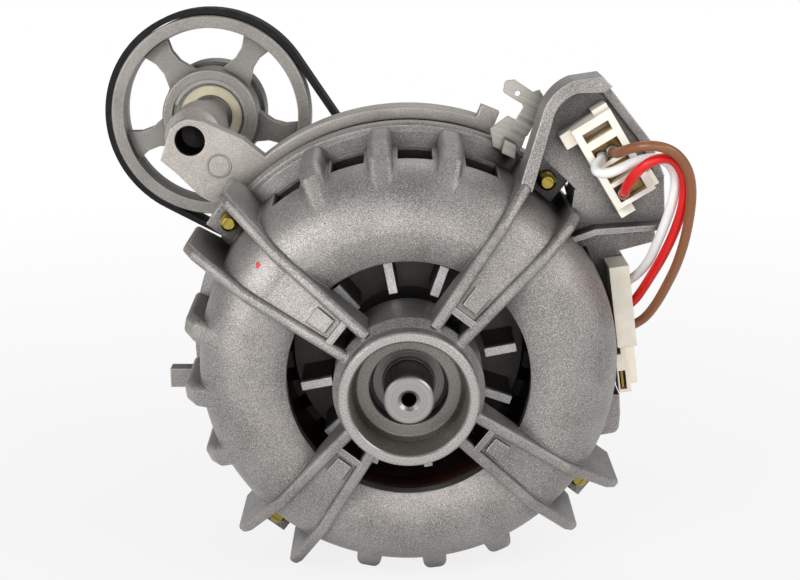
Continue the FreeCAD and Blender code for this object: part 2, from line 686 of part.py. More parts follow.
def make_shaft():
    body = new_body("shaft")
    chamfer = dim.boss_chamfer
    nose_y = dim.shaft_nose_y
    seat_back_y = front_bearing_y + dim.motor_bearing_width
    rear_back_y = rear_bearing_y + dim.motor_bearing_width
    revolve(body, "shaft_turning", [
        (0, nose_y), (dim.shaft_nose_r - chamfer, nose_y), (dim.shaft_nose_r, nose_y + chamfer),
        (dim.shaft_nose_r, front_bearing_y - dim.washer_thickness),
        (dim.motor_bearing_bore_r, front_bearing_y - dim.washer_thickness),
        (dim.motor_bearing_bore_r, seat_back_y), (dim.shaft_body_r, seat_back_y),
        (dim.shaft_body_r, rear_bearing_y), (dim.motor_bearing_bore_r, rear_bearing_y),
        (dim.motor_bearing_bore_r, rear_back_y), (dim.shaft_pulley_r, rear_back_y),
        (dim.shaft_pulley_r, dim.shaft_end_y - chamfer),
        (dim.shaft_pulley_r - chamfer, dim.shaft_end_y), (0, dim.shaft_end_y)])
    hole_r = dim.shaft_centre_hole_r
    hole_end_y = nose_y + dim.shaft_centre_hole_depth
    revolve(body, "shaft_centre_hole", [
        (0, nose_y), (hole_r * 1.5, nose_y), (hole_r, nose_y + hole_r * 0.5),
        (hole_r, hole_end_y), (0, hole_end_y + hole_r * 0.6)], cut=True)
    as_node(body, "shaft")


def make_rotor():
    """Laminated core with a die-cast cage: end rings, bars and cooling blades in one piece."""
    ring_r = rotor_r - dim.air_gap
    bar = rectangle(dim.bar_inner_r, core_y, dim.bar_outer_r, core_back_y)
    core = new_body("rotor_core")
    revolve(core, "rotor_core_turning", rectangle(dim.shaft_body_r, core_y, rotor_r, core_back_y))
    bar_slot = upright_plate(core, "bar_slot", bar, dim.bar_thickness, dim.blade_first, cut=True)
    repeat(core, "bar_slots", bar_slot, dim.bar_count)
    as_node(core, "rotor_core")

    cage = new_body("rotor_cage")
    front_ring_y = core_y - dim.end_ring_thickness
    revolve(cage, "front_end_ring", rectangle(dim.end_ring_inner_r, front_ring_y, ring_r, core_y))
    bars = upright_plate(cage, "bar", bar, dim.bar_thickness, dim.blade_first)
    repeat(cage, "bars", bars, dim.bar_count)
    rear_ring_y = core_back_y + dim.end_ring_thickness
    revolve(cage, "rear_end_ring", rectangle(dim.end_ring_inner_r, core_back_y, ring_r, rear_ring_y))
    blades = (("front_blade", front_ring_y - dim.front_blade_length, dim.front_blade_length),
              ("rear_blade", rear_ring_y, dim.rear_blade_length))
    for name, blade_y, length in blades:
        blade = upright_plate(cage, name, rectangle(
            dim.blade_inner_r, blade_y, dim.blade_outer_r, blade_y + length),
            dim.blade_thickness, dim.blade_first)
        repeat(cage, name + "s", blade, dim.blade_count)
    as_node(cage, "rotor_cage")


def make_shield_shell():
    """Hub, web, dome, wall and rim of the front shield, turned as one and then cut."""
    shell = new_body("front_shield_shell")
    hub_r = dim.hub_r
    inner_r = wall_r - dim.shield_wall
    inner_round = dim.dome_round_r - dim.shield_wall
    seat_r = dim.core_r + dim.core_fit
    web_back_y = dim.web_y + dim.web_thickness
    bearing_r = dim.motor_bearing_outer_r
    chamfer = dim.boss_chamfer
    revolve(shell, "shield_turning", [
        (dim.boss_bore_r + chamfer, 0), (dim.boss_outer_r - chamfer, 0),
        (dim.boss_outer_r, chamfer), (dim.boss_outer_r, dim.boss_seat_y),
        (hub_r, dim.hub_flare_y), (hub_r, dim.web_y),
        (dim.window_outer_r, dim.web_y), (dim.crown_r, dim.crown_y, dim.crown_sweep_r),
        (wall_r, wall_y, dim.dome_round_r), (wall_r + dim.wall_draft, dim.rim_front_y),
        (dim.rim_r, dim.rim_front_y + dim.rim_slope), (dim.rim_r, dim.joint_y),
        (seat_r, dim.joint_y), (seat_r, core_y), (inner_r, core_y), (inner_r, wall_y),
        (dim.crown_r, dim.crown_y + dim.shield_wall, -inner_round),
        (dim.window_outer_r + dim.window_lip, web_back_y),
        (hub_r, web_back_y), (hub_r, dim.hub_rear_y), (bearing_r, dim.hub_rear_y),
        (bearing_r, dim.ledge_back_y), (dim.ledge_bore_r, dim.ledge_back_y),
        (dim.ledge_bore_r, dim.ledge_y), (dim.boss_floor_r - 2 * chamfer, dim.ledge_y),
        (dim.boss_floor_r, dim.boss_floor_y), (dim.boss_bore_r, chamfer)])
    window = revolve(shell, "air_window", rectangle(
        hub_r, dim.web_y - dim.web_thickness, dim.window_outer_r,
        web_back_y + dim.web_thickness), cut=True, sweep=dim.window_sweep,
        middle=dim.arm_angle + 45)
    repeat(shell, "air_windows", window, 4)
    for index, (angle, side) in enumerate(zip(arm_angles, inner_rib_sides)):
        revolve(shell, f"hub_pocket_{index}", rectangle(
            hub_r, dim.web_y - dim.web_thickness, dim.hub_pocket_r,
            web_back_y + dim.web_thickness), cut=True, sweep=dim.hub_pocket_sweep,
            middle=angle + side * dim.hub_pocket_shift)
    cut_cooling_slots(shell, "slot", dim.slot_y, dim.slot_length,
                      inner_r - dim.shield_wall, dim.rim_r + dim.shield_wall)
    rim_chamfer = 2 * chamfer
    revolve(shell, "top_rim", [
        (wall_r - dim.wall_draft, dim.top_rim_y), (dim.top_rim_r - rim_chamfer, dim.top_rim_y),
        (dim.top_rim_r, dim.top_rim_y + rim_chamfer), (dim.top_rim_r, dim.joint_y),
        (wall_r - dim.wall_draft, dim.joint_y)],
        sweep=dim.top_rim_sweep, middle=dim.top_rim_middle)
    return shell


def cut_cooling_slots(shell, prefix, slot_y, length, from_r, to_r):
    """Four slots between neighbouring arms, repeated for each quarter."""
    quarter = dim.arm_angle + 45
    for k in range(4):
        angle = quarter + dim.finger_step * (k - 1.5)
        groove = revolve(shell, f"{prefix}_{k}", rectangle(
            from_r, slot_y, to_r, slot_y + length), cut=True, sweep=dim.slot_sweep, middle=angle)
        repeat(shell, f"{prefix}_ring_{k}", groove, 4)


def make_fingers():
    """Raised cooling fingers that bridge the slots on the top, left and bottom."""
    mid_wall = dim.shield_wall / 2
    inner_r = wall_r - mid_wall
    foot_r = dim.crown_r + dim.dome_round_r * 0.6
    foot_y = dim.crown_y + dim.dome_round_r * 0.2
    points = [
        (foot_r, foot_y), (dim.finger_r - dim.finger_bow, dim.finger_shoulder_y),
        (dim.finger_r, dim.finger_shoulder_y + 2 * dim.finger_bow),
        (dim.finger_r + dim.wall_draft, dim.finger_end_y),
        (inner_r, dim.finger_end_y), (inner_r, wall_y),
        (foot_r - dim.finger_bow, foot_y + mid_wall)]
    fingers = []
    for quarter in range(3):
        for step in (-1, 0, 1):
            angle = dim.arm_angle + 45 + 90 * quarter + dim.finger_step * step
            fingers.append(rounded_rib(f"finger_{quarter}_{step + 1}", points, 3,
                                       dim.finger_width, dim.finger_round, angle))
    return fingers


def make_arm_ribs():
    """Two diverging ribs on each arm, from the hub to the ear behind the screw. The first arm's
    ribs are shorter, because they run into the bracket."""
    half_wall = dim.shield_wall / 2
    start_r = dim.hub_r - half_wall
    web_middle_y = dim.web_y + dim.web_thickness / 2
    crown_y = dim.crown_y + half_wall
    length = dim.rib_end_r - start_r
    shoulder_r = dim.crown_r + dim.rib_shoulder
    dome_drop = dim.dome_round_r - math.sqrt(dim.dome_round_r ** 2 - dim.rib_shoulder ** 2)
    shoulder_y = dim.crown_y + dome_drop - dim.rib_stand
    slope = (dim.rib_end_y - shoulder_y) / (dim.rib_end_r - shoulder_r)
    ribs = []
    for index, (angle, inner_side) in enumerate(zip(arm_angles, inner_rib_sides)):
        end_r = dim.bracket_rib_r if index == 0 else dim.rib_end_r
        ear_r = end_r + (dim.ear_r - dim.rib_end_r)
        end_y = shoulder_y + slope * (end_r - shoulder_r)
        points = [
            (start_r, dim.rib_foot_y), (dim.crown_r, dim.crown_y - dim.rib_stand),
            (shoulder_r, shoulder_y), (end_r, end_y),
            (ear_r, end_y + dim.ear_drop), (ear_r, dim.ear_back_y),
            (wall_r - half_wall, dim.ear_back_y), (wall_r - half_wall, wall_y),
            (dim.crown_r, crown_y, half_wall - dim.dome_round_r),
            (dim.window_outer_r, web_middle_y), (start_r, web_middle_y)]
        for label, side, foot, end in (
                ("inner", inner_side, dim.inner_rib_foot, dim.inner_rib_end),
                ("outer", -inner_side, dim.outer_rib_foot, dim.outer_rib_end)):
            lean = math.degrees(math.atan2(end - foot, length))
            turned = float(angle) + side * lean
            offset = side * (foot - start_r * math.tan(math.radians(lean)))
            shift = (-offset * math.sin(math.radians(angle)), 0,
                     offset * math.cos(math.radians(angle)))
            ribs.append(rounded_rib(f"{label}_rib_{index}", points, 5, dim.rib_thickness,
                                    dim.rib_round, turned, shift))
    return ribs


def make_screw_drills(prefix, stretches):
    """Drilling tools on the circle of the screws: each stretch is a start, a length and a radius."""
    drills = []
    for index, angle in enumerate(arm_angles):
        drill = new_body(f"{prefix}_{index}")
        place = (dim.bolt_circle_r * cos_of(angle), dim.bolt_circle_r * sin_of(angle))
        for number, (y_from, length, radius) in enumerate(stretches):
            extrude(drill, f"{prefix}_{index}_{number}", [], y_from, length,
                    circles=[(*place, radius)])
        drills.append(drill)
    return group(prefix + "s", drills)


def make_screw_seats():
    """Thick pad under each through screw's tip."""
    seats = []
    for index, (angle, side) in enumerate(zip(arm_angles, inner_rib_sides)):
        seat = new_body(f"screw_seat_{index}")
        near = side * dim.inner_rib_end
        far = -side * dim.seat_reach
        outline = [(wall_r - dim.wall_draft, far), (dim.seat_outer_r, far),
                   (dim.seat_outer_r, near), (wall_r - dim.wall_draft, near)]
        extrude(seat, f"seat_pad_{index}", [outline], dim.seat_y, dim.joint_y - dim.seat_y,
                turn=angle)
        seats.append(seat)
    return seats


def from_first_screw(points):
    """Points measured from the screw of the first arm, so that the bracket follows it."""
    return [(first_screw_x + point[0], first_screw_z + point[1], *point[2:]) for point in points]


def make_bracket():
    """Cast bracket of the connector, as (right, up) from the first screw: curved wall, plate
    with a lip along its free edge, bottom wall, side wall and rear gusset."""
    plate_y = dim.bracket_y
    back_y = plate_y + dim.bracket_thickness
    # The gusset's foot stands clear of the laminations, which reach past it
    foot_z = first_screw_z - dim.gusset_drop
    foot_r = dim.core_r + dim.gusset_clearance
    gusset_left = math.sqrt(foot_r ** 2 - foot_z ** 2) - first_screw_x
    walls = (
        ("bracket_wall", dim.bracket_wall_y, back_y, [
            (-9.6, 1.3), (-3.9, 21.4), (4.7, 31.6, -14), (12.7, 32.8), (15.4, 30.0),
            (13.2, 28.4), (6.0, 28.2), (-1.0, 19.8, 10), (-6.0, 0.3)]),
        ("bracket_plate", plate_y, back_y, [
            (-6.6, 4.9), (-2.3, 20.9), (5.2, 29.9), (13.2, 31.2), (15.8, 28.9), (28.2, 13.7),
            (32.8, 3.2), (33.8, -11.1), (13.7, -12.6), (7.6, -13.8), (8.1, -1.3), (-2.7, 8.8)]),
        ("bracket_lip", plate_y - dim.bracket_lip, back_y, [
            (15.8, 28.9), (28.2, 13.7), (32.8, 3.2), (30.4, 2.6), (26.0, 12.4), (13.4, 27.8)]),
        ("bracket_floor", dim.bracket_foot_y, dim.bracket_back_y, [
            (6.4, -15.4), (13.3, -13.0), (33.4, -11.4), (33.8, -9.8), (13.1, -11.3), (5.8, -13.8)]),
        ("bracket_side", plate_y, dim.bracket_back_y, [
            (5.7, -15.0), (8.6, -14.6), (9.8, -1.8), (7.2, -0.9)]),
        ("bracket_gusset", dim.bracket_back_y, dim.bracket_back_y + dim.bracket_thickness, [
            (6.2, -3.2), (33.2, -3.2), (34.2, -20.2), (23.2, -23.2),
            (19.2, -dim.gusset_drop, -6), (gusset_left, -dim.gusset_drop)]),
        ("bracket_floor_seam", dim.bracket_back_y - dim.bracket_thickness,
         dim.bracket_back_y + dim.cut_margin, [
            (6.4, -15.4), (13.3, -13.0), (33.4, -11.4), (33.8, -9.8), (13.1, -11.3), (5.8, -13.8)]),
    )
    pieces = []
    for name, front_y, end_y, points in walls:
        piece = new_body(name)
        extrude(piece, name + "_pad", [from_first_screw(points)], front_y, end_y - front_y)
        pieces.append(piece)
    return pieces


def make_lugs():
    """Cast seat behind the stator socket, and the lugs on the right and the left."""
    seat = new_body("socket_seat")
    half_width = dim.plug_width / 2
    top = dim.plug_rise + dim.plug_length / 2
    bottom = dim.plug_rise - dim.plug_length / 2 - dim.open_half_length
    extrude(seat, "socket_seat_pad", [rectangle(
        wall_r - dim.shield_wall / 2, bottom, plug_middle_r + half_width, top)],
        dim.rim_front_y, dim.socket_seat_length, turn=dim.plug_turn)
    right = new_body("right_lug")
    extrude(right, "right_lug_pad", [[
        (wall_r - 3.0, -12.8), (wall_r - 3.5, -26.2), (wall_r + 1.6, -25.2),
        (wall_r + 2.9, -22.8, 3), (wall_r + 3.1, -18.8), (wall_r + 2.6, -12.8)]],
        dim.lug_y, dim.joint_y - dim.lug_y)
    left = new_body("left_lug")
    extrude(left, "left_lug_pad", [rectangle(
        -dim.rim_r - dim.left_lug_reach, dim.left_lug_z,
        -dim.rim_r + dim.shield_wall, dim.left_lug_z + dim.left_lug_height)],
        dim.rim_front_y + dim.rim_slope, dim.joint_y - dim.rim_front_y - dim.rim_slope)
    return [seat, right, left]


def make_front_shield():
    pieces = [make_shield_shell()] + make_fingers() + make_arm_ribs() + make_screw_seats()
    casting = fuse("front_shield_casting", pieces + make_bracket() + make_lugs())
    margin = dim.cut_margin
    holes = make_screw_drills("screw_hole", [
        (dim.seat_y - margin, dim.joint_y - dim.seat_y + 2 * margin, dim.bolt_r + dim.bolt_play)])
    as_node(cut_from("front_shield", casting, holes), "front_shield")


def make_rear_shield():
    """Rear casting: flange with screw ears, guide collar for the arm, dome and rear hub."""
    shell = new_body("rear_shield_shell")
    seat_r = dim.core_r + dim.core_fit
    inner_r = wall_r - dim.shield_wall
    inner_round = dim.rear_round_r - dim.shield_wall
    rear_wall_r = dim.rear_crown_r + dim.rear_round_r
    rear_wall_y = dim.rear_crown_y - dim.rear_round_r
    crown_front_y = dim.rear_crown_y - dim.shield_wall
    bearing_r = dim.motor_bearing_outer_r
    lip_y = dim.rear_face_y - dim.rear_lip
    flange_y = dim.joint_y + dim.flange_thickness
    chamfer = dim.boss_chamfer
    revolve(shell, "rear_shield_turning", [
        (seat_r, dim.joint_y), (dim.rim_r, dim.joint_y), (dim.rim_r, flange_y),
        (dim.neck_r, flange_y), (dim.neck_r, rear_wall_y),
        (dim.rear_crown_r, dim.rear_crown_y, dim.rear_round_r),
        (dim.hub_r, dim.rear_crown_y), (dim.hub_r, dim.rear_face_y - chamfer),
        (dim.hub_r - chamfer, dim.rear_face_y), (dim.rear_lip_bore_r, dim.rear_face_y),
        (dim.rear_lip_bore_r, lip_y), (bearing_r, lip_y), (bearing_r, rear_bearing_y - chamfer),
        (dim.hub_r, rear_bearing_y - chamfer), (dim.hub_r, crown_front_y),
        (dim.rear_crown_r, crown_front_y), (rear_wall_r - dim.shield_wall, rear_wall_y, -inner_round),
        (inner_r, core_back_y), (seat_r, core_back_y)])
    window = revolve(shell, "rear_window", rectangle(
        dim.rear_window_inner_r, crown_front_y - dim.shield_wall, dim.rear_window_outer_r,
        dim.rear_crown_y + chamfer), cut=True, sweep=dim.rear_window_sweep, middle=dim.arm_angle)
    repeat(shell, "rear_windows", window, dim.rear_window_count)
    cut_cooling_slots(shell, "rear_slot", rear_wall_y - chamfer, dim.rear_slot_length,
                      dim.rear_crown_r, dim.rim_r + dim.shield_wall)

    guide_sweep = dim.strap_end - dim.strap_start + dim.swing + 2 * dim.guide_end
    guide_middle = (dim.strap_start + dim.strap_end - dim.swing) / 2
    collar_back_y = dim.collar_front_y + dim.collar_lip + dim.collar_width
    revolve(shell, "guide_collar", rectangle(
        dim.neck_r - chamfer, dim.collar_front_y, dim.collar_r, collar_back_y),
        sweep=guide_sweep, middle=guide_middle)
    middle_y = dim.strap_y + dim.strap_width / 2
    neck = dim.guide_neck_width / 2 + dim.guide_play
    foot = dim.guide_foot_width / 2 + dim.guide_play
    foot_r = dim.guide_foot_r - dim.guide_play
    step_r = dim.guide_foot_r + dim.guide_foot_height + dim.guide_play
    slot_sweep = dim.strap_end - dim.strap_start + dim.swing + 2 * dim.guide_stop_play
    revolve(shell, "guide_groove", [
        (dim.collar_r + dim.collar_lip, middle_y - neck), (step_r, middle_y - neck),
        (step_r, middle_y - foot), (foot_r, middle_y - foot), (foot_r, middle_y + foot),
        (step_r, middle_y + foot), (step_r, middle_y + neck),
        (dim.collar_r + dim.collar_lip, middle_y + neck)],
        cut=True, sweep=slot_sweep, middle=guide_middle)

    ears = [shell]
    for index, angle in enumerate(arm_angles):
        ear = new_body(f"rear_ear_{index}")
        outline = [(dim.neck_r - dim.shield_wall, -dim.inner_rib_end),
                   (dim.seat_outer_r, -dim.seat_reach), (dim.seat_outer_r, dim.seat_reach),
                   (dim.neck_r - dim.shield_wall, dim.inner_rib_end)]
        extrude(ear, f"rear_ear_pad_{index}", [outline], dim.joint_y, dim.flange_thickness,
                turn=angle)
        ears.append(ear)
    joined = fuse("rear_shield_blank", ears)
    margin = dim.cut_margin
    passages = make_screw_drills("screw_passage", [
        (dim.joint_y - margin, dim.flange_thickness + margin, dim.bolt_r + dim.bolt_play),
        (flange_y, collar_back_y - flange_y + margin, dim.bolt_head_r + dim.guide_play)])
    as_node(cut_from("rear_shield", joined, passages), "rear_shield")


def make_through_screws():
    """Four flanged screws driven from the rear ears into the front shield's seats."""
    screws = []
    flange_y = dim.joint_y + dim.flange_thickness
    for index, angle in enumerate(arm_angles):
        screw = new_body(f"through_screw_{index}")
        length = flange_y - dim.bolt_tip_y
        point = dim.bolt_r * 0.3
        revolve(screw, f"screw_turning_{index}", [
            (0, dim.bolt_tip_y), (dim.bolt_r - point, dim.bolt_tip_y),
            (dim.bolt_r, dim.bolt_tip_y + point), (dim.bolt_r, flange_y),
            (dim.bolt_head_r, flange_y), (dim.bolt_head_r, flange_y + dim.bolt_flange),
            (0, flange_y + dim.bolt_flange)])
        corners = []
        for corner in range(6):
            corners.append((dim.bolt_hex_r * cos_of(60 * corner), dim.bolt_hex_r * sin_of(60 * corner)))
        extrude(screw, f"screw_hexagon_{index}", [corners], flange_y + dim.bolt_flange,
                dim.bolt_head_height - dim.bolt_flange)
        move_to(screw, dim.bolt_circle_r * cos_of(angle), 0, dim.bolt_circle_r * sin_of(angle))
        screws.append(screw)
    as_node(group("through_screws", screws), "through_screws")


def make_stator():
    """Laminated ring with slots, and the copper winding that fills them in one piece."""
    core = new_body("stator_core")
    revolve(core, "stator_turning", rectangle(dim.core_bore_r, core_y, dim.core_r, core_back_y))
    opening = upright_plate(core, "stator_slot", rectangle(
        dim.core_bore_r - 1, core_y, dim.core_slot_r, core_back_y),
        dim.core_slot_width, 0, cut=True)
    repeat(core, "stator_slots", opening, dim.slot_count)
    as_node(core, "stator_core")

    winding = new_body("stator_winding")
    bevel = dim.winding_round
    front_y = core_y - dim.front_winding_length
    back_y = core_back_y + dim.rear_winding_length
    inner_r = dim.winding_inner_r
    outer_r = dim.winding_outer_r
    revolve(winding, "front_winding_head", [
        (inner_r, core_y), (inner_r, front_y + bevel), (inner_r + bevel, front_y, bevel),
        (outer_r - bevel, front_y), (outer_r, front_y + bevel, bevel), (outer_r, core_y)])
    strand = upright_plate(winding, "slot_copper", rectangle(
        inner_r + dim.slot_liner, core_y, dim.core_slot_r - dim.slot_liner, core_back_y),
        dim.core_slot_width - 2 * dim.slot_liner, 0)
    repeat(winding, "slot_coppers", strand, dim.slot_count)
    revolve(winding, "rear_winding_head", [
        (inner_r, core_back_y), (outer_r, core_back_y), (outer_r, back_y - bevel),
        (outer_r - bevel, back_y, bevel), (inner_r + bevel, back_y),
        (inner_r, back_y - bevel, bevel)])
    as_node(winding, "stator_winding")

    switch = new_body("thermal_switch")
    middle_r = (inner_r + outer_r) / 2
    extrude(switch, "switch_case", [rectangle(
        middle_r - dim.switch_width / 2, -dim.switch_length / 2,
        middle_r + dim.switch_width / 2, dim.switch_length / 2)],
        front_y - dim.switch_thickness, dim.switch_thickness, turn=dim.switch_angle)
    as_node(switch, "thermal_switch")


def make_motor_pulley():
    """Small grooved pulley pressed on the rear shaft end."""
    body = new_body("motor_pulley")
    front_y = dim.belt_y - dim.motor_pulley_width / 2
    back_y = dim.belt_y + dim.motor_pulley_width / 2
    crest_r = dim.motor_pulley_r
    root_r = crest_r - dim.pulley_groove_depth
    pitch = dim.belt_width / (dim.pulley_groove_count + 1)
    first_y = dim.belt_y - pitch * dim.pulley_groove_count / 2
    points = [(dim.shaft_pulley_r, front_y), (crest_r, front_y)]
    for k in range(int(dim.pulley_groove_count)):
        groove_y = first_y + pitch * k
        points += [(crest_r, groove_y + pitch * 0.1), (root_r, groove_y + pitch * 0.45),
                   (root_r, groove_y + pitch * 0.55), (crest_r, groove_y + pitch * 0.9)]
    points += [(crest_r, back_y), (dim.shaft_pulley_r, back_y)]
    revolve(body, "motor_pulley_turning", points)
    as_node(body, "motor_pulley")


def make_belt():
    """Flat-backed belt round both pulleys: two straight runs and two round ends."""
    body = new_body("drive_belt")
    small_r = dim.motor_pulley_r + dim.belt_clearance
    large_r = dim.rim_outer_r + dim.belt_clearance
    along = (cos_of(dim.pulley_centre_angle), sin_of(dim.pulley_centre_angle))
    outlines = []
    for extra in (0, dim.belt_thickness):
        lean = (large_r - small_r) / dim.pulley_centre_r
        level = root_of(1 - lean * lean)
        r_small = small_r + extra
        r_large = large_r + extra
        sides = []
        for side in (1, -1):
            sides.append((-lean * along[0] - side * level * along[1],
                          -lean * along[1] + side * level * along[0]))
        upper, lower = sides
        outlines.append([
            (r_small * upper[0], r_small * upper[1], -r_small),
            (pulley_x + r_large * upper[0], pulley_z + r_large * upper[1]),
            (pulley_x + r_large * along[0], pulley_z + r_large * along[1], -r_large),
            (pulley_x + r_large * lower[0], pulley_z + r_large * lower[1], -r_large),
            (r_small * lower[0], r_small * lower[1]),
            (-r_small * along[0], -r_small * along[1], -r_small)])
    extrude(body, "belt_loop", outlines, dim.belt_y - dim.belt_width / 2, dim.belt_width)
    as_node(body, "drive_belt")


def make_tension_arm():
    """Cast arm: plate with the pulley post, and a strap whose rail slides in the collar."""
    body = new_body("tension_arm_casting")
    strap_middle = (dim.strap_start + dim.strap_end) / 2
    strap_sweep = dim.strap_end - dim.strap_start
    middle_y = dim.strap_y + dim.strap_width / 2
    inner_r = dim.collar_r + dim.guide_play
    neck = dim.guide_neck_width / 2
    foot = dim.guide_foot_width / 2
    foot_r = dim.guide_foot_r
    step_r = foot_r + dim.guide_foot_height
    back_y = dim.strap_y + dim.strap_width
    edge = dim.boss_chamfer
    revolve(body, "strap", [
        (inner_r, dim.strap_y), (dim.strap_r - edge, dim.strap_y),
        (dim.strap_r, dim.strap_y + edge), (dim.strap_r, back_y - edge),
        (dim.strap_r - edge, back_y), (inner_r, back_y), (inner_r, middle_y + neck),
        (step_r, middle_y + neck), (step_r, middle_y + foot), (foot_r, middle_y + foot),
        (foot_r, middle_y - foot), (step_r, middle_y - foot), (step_r, middle_y - neck),
        (inner_r, middle_y - neck)], sweep=strap_sweep, middle=strap_middle)
    peg = new_body("strap_peg")
    extrude(peg, "peg_pad", [[
        (dim.strap_r - dim.strap_peg, 0), (dim.strap_r + dim.strap_peg, 0),
        (dim.strap_r + dim.strap_peg, dim.strap_peg_width),
        (dim.strap_r - dim.strap_peg, dim.strap_peg_width)]],
        dim.strap_y, dim.strap_width / 2, turn=dim.strap_start)

    plate = new_body("arm_plate")
    # Outline of the plate, from the strap's outside over the post and the hook back to the strap
    outline = [
        (-43.6, 55.0), (-51.3, 61.4), (-63.6, 66.9), (-68.6, 67.6), (-73.6, 64.6),
        (-77.0, 54.8), (-72.3, 50.8), (-65.2, 43.6), (-60.4, 40.8), (-57.4, 41.5), (-50.8, 49.2)]
    extrude(plate, "plate_pad", [outline], dim.strap_y, dim.plate_thickness)
    plate_back_y = dim.strap_y + dim.plate_thickness
    post_back_y = plate_back_y + dim.post_length
    post = new_body("arm_post")
    bore_end_y = dim.strap_y + dim.post_front_bore_depth
    spigot_y = post_back_y - dim.axle_spigot_length
    bore_r = dim.post_front_bore_r
    revolve(post, "post_turning", [
        (0, bore_end_y + 1), (bore_r, bore_end_y), (bore_r, dim.strap_y), (dim.post_face_r, dim.strap_y),
        (dim.post_face_r, plate_back_y), (dim.post_r, plate_back_y + dim.post_face_step),
        (dim.post_r, post_back_y), (dim.pulley_bearing_bore_r, post_back_y),
        (dim.pulley_bearing_bore_r, spigot_y), (0, spigot_y)])
    move_to(post, pulley_x, 0, pulley_z)
    bore = doc.addObject("Part::Cylinder", "post_bore")
    bore.Radius = float(bore_r)
    bind(bore, "Radius", bore_r)
    bore.Height = float(dim.post_front_bore_depth)
    bind(bore, "Height", dim.post_front_bore_depth)
    bore.Placement = FreeCAD.Placement(Vector(pulley_x, dim.strap_y, pulley_z),
                                       FreeCAD.Rotation(Vector(1, 0, 0), -90))
    for axis, value in (("x", pulley_x), ("y", dim.strap_y), ("z", pulley_z)):
        bind(bore, f".Placement.Base.{axis}", value)
    drilled = cut_from("drilled_plate", plate, bore)
    as_node(fuse("tension_arm", [body, peg, drilled, post]), "tension_arm")

    axle = new_body("pulley_axle")
    groove_y = second_pulley_bearing_y + dim.pulley_bearing_width
    seat_r = dim.pulley_bearing_bore_r
    groove_r = seat_r - dim.circlip_depth
    groove_end_y = groove_y + dim.circlip_wire + dim.circlip_play
    revolve(axle, "axle_turning", [
        (0, spigot_y), (seat_r, spigot_y), (seat_r, post_back_y),
        (dim.axle_shoulder_r, post_back_y), (dim.axle_shoulder_r, first_pulley_bearing_y),
        (seat_r, first_pulley_bearing_y), (seat_r, groove_y), (groove_r, groove_y),
        (groove_r, groove_end_y), (seat_r, groove_end_y), (seat_r, dim.axle_end_y - edge),
        (seat_r - edge, dim.axle_end_y), (0, dim.axle_end_y)])
    as_node(axle, "pulley_axle")
    move_to(axle, pulley_x, 0, pulley_z)

    spacer = new_body("pulley_bearing_spacer")
    land_r = (dim.pulley_bearing_bore_r + dim.pulley_bearing_outer_r) / 2 - dim.pulley_ball_r * dim.ring_land
    revolve(spacer, "spacer_turning", rectangle(
        seat_r + dim.circlip_play, first_pulley_bearing_y + dim.pulley_bearing_width,
        land_r, second_pulley_bearing_y))
    as_node(spacer, "pulley_bearing_spacer")
    move_to(spacer, pulley_x, 0, pulley_z)

    clip = new_body("axle_circlip")
    revolve(clip, "axle_clip_turning", rectangle(
        groove_r + dim.circlip_play, groove_y, seat_r + 2 * dim.circlip_depth,
        groove_y + dim.circlip_wire), sweep=dim.circlip_sweep, middle=dim.spoke_first)
    as_node(clip, "axle_circlip")
    move_to(clip, pulley_x, 0, pulley_z)


